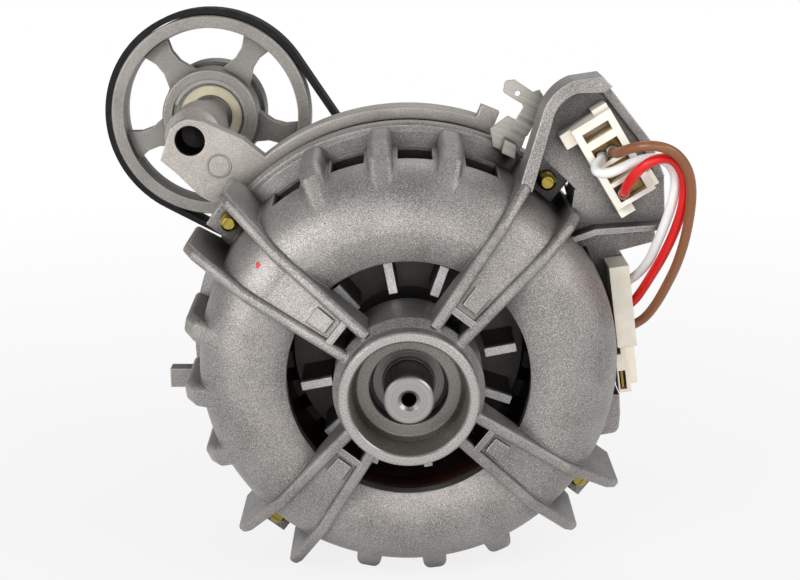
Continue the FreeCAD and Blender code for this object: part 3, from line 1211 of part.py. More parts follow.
def make_intermediate_pulley():
    """Five-spoke cast pulley with a bearing hub and the drum belt pulley behind it."""
    body = new_body("intermediate_pulley")
    front_y = dim.pulley_front_y
    back_y = front_y + dim.pulley_hub_length
    hub_r = dim.pulley_hub_r
    bearing_r = dim.pulley_bearing_outer_r
    first_end_y = first_pulley_bearing_y + dim.pulley_bearing_width
    groove_r = bearing_r + dim.circlip_depth
    groove_y = first_pulley_bearing_y - dim.circlip_wire - dim.circlip_play
    edge = dim.boss_chamfer
    drum_front_y = dim.belt_y + dim.rim_width / 2
    drum_back_y = drum_front_y + dim.drum_pulley_width
    crown_y = (drum_front_y + drum_back_y) / 2
    revolve(body, "pulley_turning", [
        (bearing_r, front_y), (hub_r - edge, front_y), (hub_r, front_y + edge),
        (hub_r, drum_front_y), (dim.drum_pulley_r, drum_front_y),
        (dim.drum_pulley_r + dim.drum_pulley_crown, crown_y), (dim.drum_pulley_r, drum_back_y),
        (hub_r - edge, back_y), (bearing_r, back_y), (bearing_r, second_pulley_bearing_y),
        (dim.shoulder_r, second_pulley_bearing_y), (dim.shoulder_r, first_end_y),
        (bearing_r, first_end_y), (bearing_r, first_pulley_bearing_y),
        (groove_r, first_pulley_bearing_y), (groove_r, groove_y), (bearing_r, groove_y)])
    rim_front_y = dim.belt_y - dim.rim_width / 2
    spoke_y = dim.belt_y - dim.spoke_thickness / 2
    inner_r = dim.rim_outer_r - dim.rim_wall
    middle_r = (hub_r + inner_r) / 2
    half_root = dim.spoke_root / 2
    half_waist = dim.spoke_width / 2
    reach = dim.rim_wall / 2
    spoke = extrude(body, "spoke", [[
        (hub_r - reach, half_root), (hub_r - reach, -half_root),
        (middle_r - reach, -half_waist), (middle_r + reach, -half_waist),
        (inner_r + reach, -half_root), (inner_r + reach, half_root),
        (middle_r + reach, half_waist), (middle_r - reach, half_waist)]],
        spoke_y, dim.spoke_thickness, turn=dim.spoke_first)
    repeat(body, "spokes", spoke, dim.spoke_count)
    draft = edge
    revolve(body, "rim", [
        (inner_r, rim_front_y), (dim.rim_outer_r - edge, rim_front_y),
        (dim.rim_outer_r, rim_front_y + edge), (dim.rim_outer_r, rim_front_y + dim.rim_width - edge),
        (dim.rim_outer_r - edge, rim_front_y + dim.rim_width), (inner_r, rim_front_y + dim.rim_width),
        (inner_r - draft, dim.belt_y)])
    as_node(body, "intermediate_pulley")
    move_to(body, pulley_x, 0, pulley_z)

    clip = new_body("pulley_circlip")
    revolve(clip, "pulley_clip_turning", rectangle(
        bearing_r - 2 * dim.circlip_depth, groove_y + dim.circlip_play,
        groove_r - dim.circlip_play, groove_y + dim.circlip_play + dim.circlip_wire),
        sweep=dim.circlip_sweep, middle=0)
    as_node(clip, "pulley_circlip")
    move_to(clip, pulley_x, 0, pulley_z)


def cavity_middle(k):
    """Middle of a cavity along the connector."""
    return dim.cavity_pitch * (k - (dim.cavity_count - 1) / 2)


def make_connector():
    """White connector on the bracket: four cavities, a cover over the unused one, latch tabs,
    and a forked contact in each cavity that is used."""
    front_y = dim.bracket_y - dim.socket_depth
    place = (first_screw_x + dim.socket_right, front_y, first_screw_z + dim.socket_up,
             dim.socket_turn)
    half_length = dim.socket_length / 2
    half_height = dim.socket_height / 2
    half_tall = dim.cavity_height / 2
    socket = new_body("connector_socket")
    outline = rectangle(-half_length, -half_height, half_length, half_height)
    extrude(socket, "socket_block", [outline], 0, dim.socket_depth)
    latch = dim.latch_length
    latch_reach = dim.latch_reach
    sides = (
        ("latch_top", -half_length, -half_height - latch_reach, -half_length + latch, -half_height),
        ("latch_bottom", half_length - latch / 2, -half_height, half_length + latch_reach,
         -half_height + latch),
        ("latch_crown", -half_length - dim.crown_reach, half_height - latch, -half_length,
         half_height),
        ("latch_right", half_length - latch, half_height, half_length, half_height + latch_reach / 2))
    latch_y = dim.socket_depth / 3
    for name, x_from, z_from, x_to, z_to in sides:
        extrude(socket, name, [rectangle(x_from, z_from, x_to, z_to)], latch_y,
                dim.socket_depth - latch_y)
    for k in range(int(dim.cavity_count)):
        middle = cavity_middle(k)
        half_width = (dim.closed_slot_width if k == 0 else dim.cavity_width) / 2
        extrude(socket, f"cavity_{k}", [rectangle(
            middle - half_width, -half_tall, middle + half_width, half_tall)],
            0, dim.cavity_depth, cut=True)
    as_node(socket, "connector_socket")
    move_to(socket, *place)

    contacts = []
    top = dim.cavity_depth - dim.contact_height
    gap = dim.contact_gap
    for k in range(1, int(dim.cavity_count)):
        contact = new_body(f"contact_{k}")
        half_width = dim.cavity_width / 2 - gap
        extrude(contact, f"contact_block_{k}", [rectangle(
            cavity_middle(k) - half_width, gap - half_tall, cavity_middle(k) + half_width,
            half_tall - gap)], top, dim.contact_height)
        move_to(contact, *place)
        contacts.append(contact)
    as_node(group("connector_contacts", contacts), "connector_contacts")


def make_plug():
    """Cream plug on the motor's side, and the stator socket whose lower half lies open."""
    turn = dim.plug_turn
    half_width = dim.plug_width / 2
    half_length = dim.plug_length / 2
    back_y = dim.rim_front_y - dim.base_thickness
    plug = new_body("motor_plug")
    outline = rectangle(plug_middle_r - half_width, dim.plug_rise - half_length,
                        plug_middle_r + half_width, dim.plug_rise + half_length)
    extrude(plug, "plug_block", [outline], back_y - dim.plug_depth, dim.plug_depth, turn=turn)
    as_node(plug, "motor_plug")

    socket = new_body("stator_socket")
    plug_end = dim.plug_rise - half_length
    bottom = plug_end - dim.open_half_length
    left = plug_middle_r - half_width - dim.open_half_shift
    right = plug_middle_r
    waist_right = right - dim.open_half_lean
    neck_left = left + dim.open_neck
    neck_front = plug_end - dim.open_neck_length
    base = [
        (plug_middle_r - half_width, bottom), (plug_middle_r + half_width, bottom),
        (plug_middle_r + half_width, dim.plug_rise + half_length),
        (plug_middle_r - half_width, dim.plug_rise + half_length)]
    extrude(socket, "socket_base", [base], back_y, dim.base_thickness, turn=turn)
    front_y = back_y - dim.plug_depth + dim.open_half_step
    open_half = [
        (left, bottom), (right, bottom), (waist_right, bottom + dim.open_half_waist),
        (right - dim.open_neck, plug_end - dim.plug_gap), (neck_left, plug_end - dim.plug_gap),
        (neck_left, neck_front), (left, neck_front)]
    extrude(socket, "open_half", [open_half], front_y, back_y - front_y, turn=turn)
    wall = dim.open_half_wall
    cavity_bottom = bottom + wall
    extrude(socket, "open_cavity", [rectangle(
        left + wall / 2, cavity_bottom, waist_right - wall,
        cavity_bottom + dim.open_cavity_length)], front_y, dim.open_cavity_depth, cut=True, turn=turn)
    as_node(socket, "stator_socket")

    contact = new_body("socket_contact")
    middle = (left + waist_right - wall / 2) / 2
    contact_from = cavity_bottom + dim.contact_gap
    extrude(contact, "socket_contact_pad", [rectangle(
        middle - dim.sheet_thickness / 2, contact_from, middle + dim.sheet_thickness / 2,
        cavity_bottom + dim.open_cavity_length - dim.contact_gap)],
        front_y + dim.open_half_step, dim.open_cavity_depth - dim.open_half_step, turn=turn)
    as_node(contact, "socket_contact")


# Routes of the three wires, chosen by hand along the photographed loops: from the contact in the
# connector, out of its cavity, round to the right and down into the plug's side
WIRE_ROUTES = {
    "white_wire": [
        (54.3, 27.4, 63.1), (54.3, 24.2, 63.1), (52.4, 21.5, 62.2), (51.6, 19.3, 61.3),
        (51.8, 17.1, 60.6), (53.3, 15.2, 60.5), (55.7, 14.4, 61.1), (59.4, 15.5, 62.6),
        (63.8, 16.8, 64.2), (68.8, 17.9, 64.5), (72.9, 19.4, 62.0), (74.6, 20.6, 57.2),
        (73.8, 21.5, 50.3), (72.2, 23.0, 43.4), (71.4, 27.4, 36.8), (71.3, 33.7, 30.8),
        (72.7, 38.2, 27.1), (71.6, 40.7, 24.8), (69.11, 42.0, 23.28), (66.14, 42.0, 22.85)],
    "red_wire": [
        (60.7, 27.4, 52.9), (60.7, 23.8, 52.9), (60.3, 18.4, 56.2), (61.5, 14.1, 60.3),
        (63.9, 11.5, 63.6), (67.2, 11.0, 65.5), (71.1, 12.3, 65.3), (74.4, 15.0, 62.3),
        (76.5, 17.9, 57.2), (76.9, 20.6, 49.5), (75.8, 24.0, 40.8), (74.7, 30.0, 31.9),
        (74.0, 36.3, 23.6), (73.9, 39.7, 19.5), (72.3, 41.2, 17.4), (69.93, 42.0, 16.12),
        (67.16, 42.0, 15.72)],
    "brown_wire": [
        (57.1, 27.4, 64.8), (57.1, 23.9, 64.8), (57.3, 17.8, 65.7), (59.2, 13.0, 67.6),
        (62.3, 9.6, 69.1), (66.6, 8.0, 69.5), (71.3, 8.8, 67.7), (75.2, 11.1, 63.4),
        (77.5, 13.8, 57.6), (78.2, 17.0, 49.6), (78.0, 21.4, 40.0), (77.1, 26.6, 31.4),
        (76.2, 32.0, 24.4), (75.6, 36.9, 17.8), (75.0, 39.9, 13.0), (73.3, 41.3, 10.7),
        (70.92, 42.0, 9.29), (68.15, 42.0, 8.89)],
}


def make_wire(name, points, diameter):
    """Tube along straight runs joined by tangent arcs, each as large as its two runs allow."""
    corners = [Vector(*point) for point in points]
    edges = []
    start = corners[0]
    radii = []
    for before, corner, after in zip(corners, corners[1:], corners[2:]):
        arriving = (corner - before).normalize()
        leaving = (after - corner).normalize()
        reach = 0.45 * min((corner - before).Length, (after - corner).Length)
        half_turn = arriving.getAngle(leaving) / 2
        radii.append(reach / math.tan(half_turn))
        first = corner - arriving * reach
        last = corner + leaving * reach
        to_centre = (leaving - arriving).normalize()
        centre = corner + to_centre * (radii[-1] / math.cos(half_turn))
        middle = centre - to_centre * radii[-1]
        edges.append(Part.LineSegment(start, first).toShape())
        edges.append(Part.Arc(first, middle, last).toShape())
        start = last
    edges.append(Part.LineSegment(start, corners[-1]).toShape())
    path = Part.Wire(edges)
    section = Part.Wire([Part.makeCircle(diameter / 2, corners[0], corners[1] - corners[0])])
    wire = doc.addObject("Part::Feature", name)
    wire.Shape = path.makePipeShell([section], True, False)
    wire.Placement = FreeCAD.Placement()
    expected = math.pi * diameter ** 2 / 4 * path.Length
    print(f"{name}: length {path.Length:.1f}, least radius {min(radii):.1f}, radii "
          f"{[round(radius, 1) for radius in radii]}, volume {wire.Shape.Volume / expected:.4f} of "
          "section times length")
    as_node(wire, name)


def make_wires():
    diameter = float(sheet.get(sheet.getCellFromAlias("wire_d")))
    for name, points in WIRE_ROUTES.items():
        make_wire(name, points, diameter)


def make_earth_blade():
    """Steel earth blade and the clip that holds it against the raised rim."""
    sheet_y = dim.top_rim_y - dim.sheet_thickness
    clip = new_body("shield_clip")
    extrude(clip, "clip_plate", [[
        (25.4, 61.8), (24.4, 67.0), (29.6, 70.8), (36.2, 67.6), (34.0, 61.4), (31.6, 58.8)]],
        sheet_y, dim.sheet_thickness)
    extrude(clip, "clip_foot", [[
        (27.6, 60.6), (28.6, 64.6), (32.0, 62.8), (31.6, 58.7)]],
        sheet_y - dim.clip_foot_depth, dim.clip_foot_depth + dim.sheet_thickness)
    as_node(clip, "shield_clip")

    blade = new_body("earth_blade")
    outline = [
        (28.0, 78.4), (28.3, 79.6), (30.2, 81.5, -1.6), (31.4, 81.7), (36.9, 78.0), (38.9, 78.7),
        (41.2, 74.8), (35.4, 64.8), (30.6, 67.2), (34.2, 73.6), (33.6, 74.6), (28.6, 77.6)]
    extrude(blade, "blade_pad", [outline], sheet_y - dim.sheet_thickness, dim.sheet_thickness,
            circles=[(32.3, 77.6, dim.blade_hole_r)])
    as_node(blade, "earth_blade")


make_motor_bearings()
make_pulley_bearings()
make_shaft()
make_rotor()
make_stator()
make_front_shield()
make_rear_shield()
make_through_screws()
make_motor_pulley()
make_belt()
make_tension_arm()
make_intermediate_pulley()
make_connector()
make_plug()
make_wires()
make_earth_blade()


def check_and_write():
    doc.recompute()
    failed = []
    for item in doc.Objects:
        if "Invalid" in item.State or "Error" in item.State:
            failed.append(f"{item.Name} ({item.TypeId}): {item.getStatusString()}")
    for name, item in nodes:
        if item.Shape.isNull() or not item.Shape.isValid():
            failed.append(f"{name}: bad shape")
    if failed:
        raise RuntimeError("failed objects: " + "; ".join(failed))
    os.makedirs("parts", exist_ok=True)
    for name, item in nodes:
        item.Shape.exportStep(f"parts/{name}.step")
        print(f"{name}: {len(item.Shape.Solids)} solids, {item.Shape.Volume:.1f} mm3")


check_and_write()
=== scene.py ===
# %% [markdown]
# Dressing a tumble dryer motor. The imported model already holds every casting, bearing, pulley and
# screw at its real size, so this lesson adds what a camera notices next: the sandy skin of die-cast
# aluminium, turned faces, plastic that has yellowed a little, soft wires, threads and crimps.
# Everything is in metres, and the shaft runs along Y with the front of the motor towards -Y.

# %% The frame
import json
import math

import bmesh
import bpy
import numpy as np
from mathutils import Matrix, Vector


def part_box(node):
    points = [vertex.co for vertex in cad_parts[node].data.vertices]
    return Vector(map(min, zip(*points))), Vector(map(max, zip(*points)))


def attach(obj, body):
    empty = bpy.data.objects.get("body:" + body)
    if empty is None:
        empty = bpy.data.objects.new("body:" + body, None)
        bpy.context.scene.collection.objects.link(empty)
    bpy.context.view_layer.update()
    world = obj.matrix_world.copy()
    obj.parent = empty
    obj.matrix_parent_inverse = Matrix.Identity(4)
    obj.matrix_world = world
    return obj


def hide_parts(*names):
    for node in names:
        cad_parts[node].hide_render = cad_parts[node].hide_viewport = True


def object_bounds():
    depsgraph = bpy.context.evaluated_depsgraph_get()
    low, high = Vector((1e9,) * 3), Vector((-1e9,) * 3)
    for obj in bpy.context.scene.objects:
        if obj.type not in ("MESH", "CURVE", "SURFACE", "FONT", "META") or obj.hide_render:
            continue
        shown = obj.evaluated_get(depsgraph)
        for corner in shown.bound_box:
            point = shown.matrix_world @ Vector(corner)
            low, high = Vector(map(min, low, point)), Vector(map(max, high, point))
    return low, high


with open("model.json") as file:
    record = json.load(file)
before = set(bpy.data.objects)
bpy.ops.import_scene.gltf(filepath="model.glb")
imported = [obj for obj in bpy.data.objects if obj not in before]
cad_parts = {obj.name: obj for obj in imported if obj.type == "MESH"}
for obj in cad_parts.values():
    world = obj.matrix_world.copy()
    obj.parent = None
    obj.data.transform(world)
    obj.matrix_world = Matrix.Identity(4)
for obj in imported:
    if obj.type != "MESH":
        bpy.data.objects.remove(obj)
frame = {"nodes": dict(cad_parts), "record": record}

cad_low, cad_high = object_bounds()
nodes = frame["nodes"]
MM = 0.001
print("nodes in the frame:", len(nodes))

# %% [markdown]
# The camera comes first, because every later choice is judged through it. It stands in front of the
# shaft, a little above the motor, and looks down by about sixteen degrees. Its distance matters as
# much as its angle: from further off, the pulley at the back would look larger beside the dome.

# %% The camera
CAMERA_PLACE = (-0.00248, -0.36047, 0.13295)
CAMERA_TILT = 74.3
camera_data = bpy.data.cameras.new("camera")
camera_data.sensor_width = 36.0
camera_data.lens = 62.55
camera = bpy.data.objects.new("camera", camera_data)
camera.location = CAMERA_PLACE
camera.rotation_euler = (math.radians(CAMERA_TILT), 0, 0)
bpy.context.scene.collection.objects.link(camera)
bpy.context.scene.camera = camera
print("the camera looks down by", round(90 - CAMERA_TILT, 1), "degrees")

# %% [markdown]
# A soft wire is a fixed length of something that bends easily. A tube made of straight runs and
# arcs would look like bent rod. A NURBS spline of order three keeps its curve smooth between a few
# points, so the points are listed along the loops: out of the connector, forward and up,
# round to the right, and down into the side of the plug.

# %% Routes of the three wires
WIRE_DIAMETER = 2.8 * MM

# For each colour, the wire's length in metres and its points in millimetres.
WIRE_ROUTES = {
    "white": (0.0864, [
        (54.3, 27.4, 63.1), (54.3, 24.2, 63.1), (52.4, 21.5, 62.2), (51.6, 19.3, 61.3),
        (51.8, 17.1, 60.6), (53.3, 15.2, 60.5), (55.7, 14.4, 61.1), (59.4, 15.5, 62.6),
        (63.8, 16.8, 64.2), (68.8, 17.9, 64.5), (72.9, 19.4, 62.0), (74.6, 20.6, 57.2),
        (73.8, 21.5, 50.3), (72.2, 23.4, 43.4), (71.2, 27.8, 37.2), (70.7, 33.0, 32.0),
        (70.0, 37.4, 28.4), (69.1, 40.2, 26.0), (67.9, 41.5, 24.2), (66.14, 42.0, 22.85)]),
    "red": (0.0921, [
        (60.7, 27.4, 52.9), (60.7, 23.8, 52.9), (60.3, 18.4, 56.2), (61.5, 14.1, 60.3),
        (63.9, 11.5, 63.6), (67.2, 11.0, 65.5), (71.1, 12.3, 65.3), (74.4, 15.0, 62.3),
        (76.5, 17.9, 57.2), (76.7, 20.6, 49.5), (75.3, 24.4, 41.0), (73.4, 30.0, 32.6),
        (71.5, 35.8, 25.6), (70.4, 39.2, 21.6), (69.4, 41.0, 18.9), (68.4, 41.8, 17.0),
        (67.16, 42.0, 15.72)]),
    "brown": (0.1030, [
        (57.1, 27.4, 64.8), (57.1, 23.9, 64.8), (57.3, 17.8, 65.7), (59.2, 13.0, 67.6),
        (62.3, 9.6, 69.1), (66.6, 8.0, 69.5), (71.3, 8.8, 67.7), (75.2, 11.1, 63.4),
        (77.5, 13.8, 57.6), (78.2, 17.0, 49.6), (78.0, 21.4, 40.0), (77.1, 26.6, 31.4),
        (75.9, 32.0, 24.6), (74.4, 36.7, 18.2), (72.9, 39.7, 14.0), (71.3, 41.2, 11.3),
        (69.7, 41.9, 9.8), (68.15, 42.0, 8.89)]),
}


def make_wire(colour, route):
    """Round tube along a NURBS spline of order three. The bevel is one metre times each point's
    radius, because the curve's box grows by that radius."""
    curve = bpy.data.curves.new(f"{colour}_lead", "CURVE")
    curve.dimensions = "3D"
    curve.bevel_depth = 1.0
    curve.bevel_resolution = 8
    curve.resolution_u = 14
    curve.use_fill_caps = True
    spline = curve.splines.new("NURBS")
    spline.points.add(len(route) - 1)
    for point, place in zip(spline.points, route):
        point.co = (place[0] * MM, place[1] * MM, place[2] * MM, 1)
        point.radius = WIRE_DIAMETER / 2
    spline.order_u = 3
    spline.use_endpoint_u = True
    piece = bpy.data.objects.new(f"{colour}_lead", curve)
    bpy.context.scene.collection.objects.link(piece)
    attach(piece, "housing")
    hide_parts(f"{colour}_wire")
    return piece


wires = {}
for colour, (length, route) in WIRE_ROUTES.items():
    wires[colour] = make_wire(colour, route)
print("wires:", sorted(wires))

# %% [markdown]
# Materials are small networks of nodes. An effect that several of them share, such as the grain of
# a sand-textured die, is built once as a node group with named sockets. These helpers add a node
# and set its plain values in one line, so that each network reads from top to bottom.

# %% Helpers for node networks
COLOUR = "NodeSocketColor"
NUMBER = "NodeSocketFloat"
VECTOR = "NodeSocketVector"

# Places of a Mix node's colour sockets, which share their names with its number sockets.
MIX_FIRST = 6
MIX_SECOND = 7
MIX_RESULT = 2


def fill(tree, socket, value):
    """A socket gets a link if the value is a socket, and otherwise a plain number or colour."""
    if isinstance(value, bpy.types.NodeSocket):
        tree.links.new(value, socket)
    elif socket.type == "RGBA" and len(value) == 3:
        socket.default_value = (*value, 1)
    else:
        socket.default_value = value


def fill_named(tree, node, inputs):
    """Fill sockets by name; an underscore in a key stands for a space."""
    for key, value in inputs.items():
        fill(tree, node.inputs[key.replace("_", " ")], value)


def add_node(tree, kind, settings=(), **inputs):
    """Add a node, set its own properties, and fill or link its named inputs."""
    node = tree.nodes.new(kind)
    for key, value in dict(settings).items():
        setattr(node, key, value)
    fill_named(tree, node, inputs)
    return node


def maths(tree, operation, *values, clamp=False):
    """One arithmetic node on sockets or numbers."""
    node = add_node(tree, "ShaderNodeMath", {"operation": operation, "use_clamp": clamp})
    for socket, value in zip(node.inputs, values):
        fill(tree, socket, value)
    return node.outputs[0]


def blend_colours(tree, share, first, second):
    """Mix two colours by a share between nought and one."""
    node = add_node(tree, "ShaderNodeMix", {"data_type": "RGBA"})
    fill(tree, node.inputs["Factor"], share)
    fill(tree, node.inputs[MIX_FIRST], first)
    fill(tree, node.inputs[MIX_SECOND], second)
    return node.outputs[MIX_RESULT]


# Most values of a noise lie between these two.
NOISE_RANGE = (0.3, 0.7)


def stretch(tree, value, low, high, to_low=0.0, to_high=1.0):
    """Map a range of values to another one, with the ends held."""
    node = add_node(tree, "ShaderNodeMapRange", {"clamp": True})
    for socket, number in zip(node.inputs, (value, low, high, to_low, to_high)):
        fill(tree, socket, number)
    return node.outputs[0]


def object_place(tree):
    """The point's own place in the object, which doesn't slide when the piece moves."""
    return add_node(tree, "ShaderNodeTexCoord").outputs["Object"]


def noise(tree, place, scale, detail, roughness=0.5):
    """Soft cloudy noise in space, between nought and one with most of it near a half."""
    return add_node(tree, "ShaderNodeTexNoise", Vector=place, Scale=scale, Detail=detail,
                    Roughness=roughness).outputs["Fac"]


def lines_along(tree, track, scale, detail):
    """Noise of one number only, which draws uneven lines where that number changes."""
    return add_node(tree, "ShaderNodeTexNoise", {"noise_dimensions": "1D"}, W=track, Scale=scale,
                    Detail=detail).outputs["Fac"]


def new_group(name, inputs, outputs):
    """Empty node group with its sockets; returns the tree, its inputs and its output node."""
    tree = bpy.data.node_groups.new(name, "ShaderNodeTree")
    for label, kind, value in inputs:
        socket = tree.interface.new_socket(label, in_out="INPUT", socket_type=kind)
        socket.default_value = (*value, 1) if kind == COLOUR else value
    for label, kind in outputs:
        tree.interface.new_socket(label, in_out="OUTPUT", socket_type=kind)
    start = tree.nodes.new("NodeGroupInput")
    end = tree.nodes.new("NodeGroupOutput")
    return tree, start.outputs, end


def use_group(tree, group, **inputs):
    """Place a node group in a material and set its inputs."""
    node = tree.nodes.new("ShaderNodeGroup")
    node.node_tree = group
    fill_named(tree, node, inputs)
    return node.outputs


# %% [markdown]
# Die-cast aluminium that was shot-blasted looks like fine grey sand: light and dark grains under a
# millimetre across, broad clouds where the blast was stronger, and a faint relief. A flat picture of
# it would stretch over the dome, so the pattern fills space: a noise and a cell pattern give the
# grains, and one slow noise gives the clouds.

# %% Group: cast skin
def build_cast_skin():
    """From dark to light by 0.5 + contrast ((grains - 0.5) + (cells - 0.45)) + 0.8 (clouds - 0.5)."""
    cells_per_grain = 1.6
    cell_middle = 0.45
    cloud_scale = 70.0
    cloud_share = 0.8
    tree, given, end = new_group("cast_skin", [
        ("Dark", COLOUR, (0.3, 0.3, 0.3)), ("Light", COLOUR, (0.6, 0.6, 0.6)),
        ("Grain Scale", NUMBER, 1000.0), ("Contrast", NUMBER, 0.5)],
        [("Color", COLOUR), ("Roughness", NUMBER), ("Height", NUMBER)])
    place = object_place(tree)
    grains = noise(tree, place, given["Grain Scale"], 4.0, roughness=0.7)
    cell_scale = maths(tree, "MULTIPLY", given["Grain Scale"], cells_per_grain)
    cells = add_node(tree, "ShaderNodeTexVoronoi", Vector=place, Scale=cell_scale).outputs["Distance"]
    clouds = noise(tree, place, cloud_scale, 3.0)
    spread = maths(tree, "MULTIPLY", maths(tree, "SUBTRACT", grains, 0.5), given["Contrast"])
    sparkle = maths(tree, "MULTIPLY", maths(tree, "SUBTRACT", cells, cell_middle), given["Contrast"])
    drift = maths(tree, "MULTIPLY", maths(tree, "SUBTRACT", clouds, 0.5), cloud_share)
    tone = maths(tree, "ADD", maths(tree, "ADD", spread, 0.5), maths(tree, "ADD", drift, sparkle),
                 clamp=True)
    fill(tree, end.inputs["Color"], blend_colours(tree, tone, given["Dark"], given["Light"]))
    fill(tree, end.inputs["Roughness"], stretch(tree, grains, *NOISE_RANGE, 0.34, 0.54))
    fill(tree, end.inputs["Height"], maths(tree, "ADD", grains, maths(tree, "MULTIPLY", cells, 0.5)))
    return tree


cast_skin = build_cast_skin()
print("group:", cast_skin.name, "nodes:", len(cast_skin.nodes))

# %% [markdown]
# Edges of a casting are rubbed bright and get a painted highlight as well, and its corners hold
# grey dust and a painted shade. Both could be painted by hand on each part, but the shader can find
# them alone. The Bevel node looks a small way round each point: where its averaged normal leaves the
# true one, an edge is near. Ambient occlusion over a short reach finds the corners, and over a long
# one the deep hollows, which the materials darken with a painted shade. The same averaged normal
# also rounds every sharp edge a little.

# %% Group: edges and corners
def build_edges():
    """Edge is 1 - (rounded normal . true normal), stretched, but none in a corner. Corner and hollow
    are the share of the near and of the wide surroundings that is hidden, stretched."""
    tree, given, end = new_group("edges_and_corners", [
        ("Radius", NUMBER, 0.0006), ("Corner Reach", NUMBER, 0.006), ("Hollow Reach", NUMBER, 0.03)],
        [("Edge", NUMBER), ("Corner", NUMBER), ("Hollow", NUMBER), ("Normal", VECTOR)])
    rounded = add_node(tree, "ShaderNodeBevel", {"samples": 4}, Radius=given["Radius"]).outputs[0]
    true_normal = add_node(tree, "ShaderNodeNewGeometry").outputs["Normal"]
    product = add_node(tree, "ShaderNodeVectorMath", {"operation": "DOT_PRODUCT"})
    fill(tree, product.inputs[0], rounded)
    fill(tree, product.inputs[1], true_normal)
    bend = maths(tree, "SUBTRACT", 1.0, product.outputs["Value"])
    near_open = add_node(tree, "ShaderNodeAmbientOcclusion", {"samples": 6},
                         Distance=given["Corner Reach"]).outputs["AO"]
    wide_open = add_node(tree, "ShaderNodeAmbientOcclusion", {"samples": 5},
                         Distance=given["Hollow Reach"]).outputs["AO"]
    corner = stretch(tree, near_open, 0.25, 0.85, 1.0, 0.0)
    hollow = stretch(tree, wide_open, 0.05, 0.5, 1.0, 0.0)
    clear = maths(tree, "SUBTRACT", 1.0, corner)
    edge = maths(tree, "MULTIPLY", stretch(tree, bend, 0.01, 0.16), clear)
    fill(tree, end.inputs["Edge"], edge)
    fill(tree, end.inputs["Corner"], corner)
    fill(tree, end.inputs["Hollow"], hollow)
    fill(tree, end.inputs["Normal"], rounded)
    return tree


edges_and_corners = build_edges()
print("group:", edges_and_corners.name, "nodes:", len(edges_and_corners.nodes))

# %% [markdown]
# A lathe leaves rings: fine, uneven lines round the axis, on faces as well as on round sides. An
# anisotropic gloss would only smear the highlight. Here the distance from the axis plus the place
# along it feeds a one-dimensional noise, so the same lines run round a cylinder and across its end.

# %% Group: turned rings
def build_turned():
    """Tone is the noise of radius + y, where radius^2 = (x - axis x)^2 + (z - axis z)^2."""
    tree, given, end = new_group("turned_rings", [
        ("Axis X", NUMBER, 0.0), ("Axis Z", NUMBER, 0.0), ("Line Scale", NUMBER, 4000.0)],
        [("Tone", NUMBER), ("Radius", NUMBER), ("Along", NUMBER)])
    parts = add_node(tree, "ShaderNodeSeparateXYZ", Vector=object_place(tree)).outputs
    across = maths(tree, "SUBTRACT", parts["X"], given["Axis X"])
    up = maths(tree, "SUBTRACT", parts["Z"], given["Axis Z"])
    across_squared = maths(tree, "MULTIPLY", across, across)
    up_squared = maths(tree, "MULTIPLY", up, up)
    radius = maths(tree, "SQRT", maths(tree, "ADD", across_squared, up_squared))
    track = maths(tree, "ADD", radius, parts["Y"])
    fill(tree, end.inputs["Tone"], lines_along(tree, track, given["Line Scale"], 3.0))
    fill(tree, end.inputs["Radius"], radius)
    fill(tree, end.inputs["Along"], parts["Y"])
    return tree


turned_rings = build_turned()
print("group:", turned_rings.name, "nodes:", len(turned_rings.nodes))

# %% [markdown]
# Moulded nylon and vinyl are almost even, with faint clouds, a stain that deepens in corners as
# yellowing and a painted shade, and a skin that isn't quite smooth. One group with a base and a
# stain serves every plastic here, from the cream plug to the black seals.

# %% Group: moulded skin
def build_moulded():
    """From base to stain by 0.22 of the clouds plus 0.65 of the corner, whose share is yellowing and
    painted shade.
    """
    cloud_share = 0.22
    corner_stain_and_shade_share = 0.65
    cloud_scale = 160.0
    skin_scale = 2500.0
    tree, given, end = new_group("moulded_skin", [
        ("Base", COLOUR, (0.8, 0.8, 0.8)), ("Stain", COLOUR, (0.5, 0.4, 0.3)),
        ("Corner", NUMBER, 0.0)],
        [("Color", COLOUR), ("Roughness", NUMBER), ("Height", NUMBER)])
    place = object_place(tree)
    clouds = noise(tree, place, cloud_scale, 3.0)
    faint = maths(tree, "MULTIPLY", stretch(tree, clouds, 0.45, 0.75), cloud_share)
    # The corner's share of the stain is yellowing and a painted shade.
    deep = maths(tree, "MULTIPLY", given["Corner"], corner_stain_and_shade_share)
    share = maths(tree, "ADD", faint, deep, clamp=True)
    fill(tree, end.inputs["Color"], blend_colours(tree, share, given["Base"], given["Stain"]))
    fill(tree, end.inputs["Roughness"], stretch(tree, clouds, *NOISE_RANGE, 0.34, 0.52))
    fill(tree, end.inputs["Height"], noise(tree, place, skin_scale, 2.0))
    return tree


moulded_skin = build_moulded()
print("group:", moulded_skin.name, "nodes:", len(moulded_skin.nodes))

# %% [markdown]
# Each finish is a short function. The Principled shader stays in the material itself, and the
# groups only hand it colours, roughness and height that change over the surface. A finish is kept
# under its slot's name in the record, so that each part can look up its own.

# %% Helpers for finishes
finishes = {}


def new_finish(name, **values):
    """Material with a Principled shader and its plain values, kept under its name."""
    material = bpy.data.materials.new(name)
    material.use_nodes = True
    tree = material.node_tree
    shader = tree.nodes["Principled BSDF"]
    fill_named(tree, shader, values)
    finishes[name] = material
    return tree, shader


def relief(tree, shader, height, depth, normal=None):
    """Bump of a height between nought and one by a depth in metres, on top of a rounded normal."""
    bump = add_node(tree, "ShaderNodeBump", Height=height, Strength=1.0, Distance=depth)
    if normal is not None:
        fill(tree, bump.inputs["Normal"], normal)
    fill(tree, shader.inputs["Normal"], bump.outputs["Normal"])
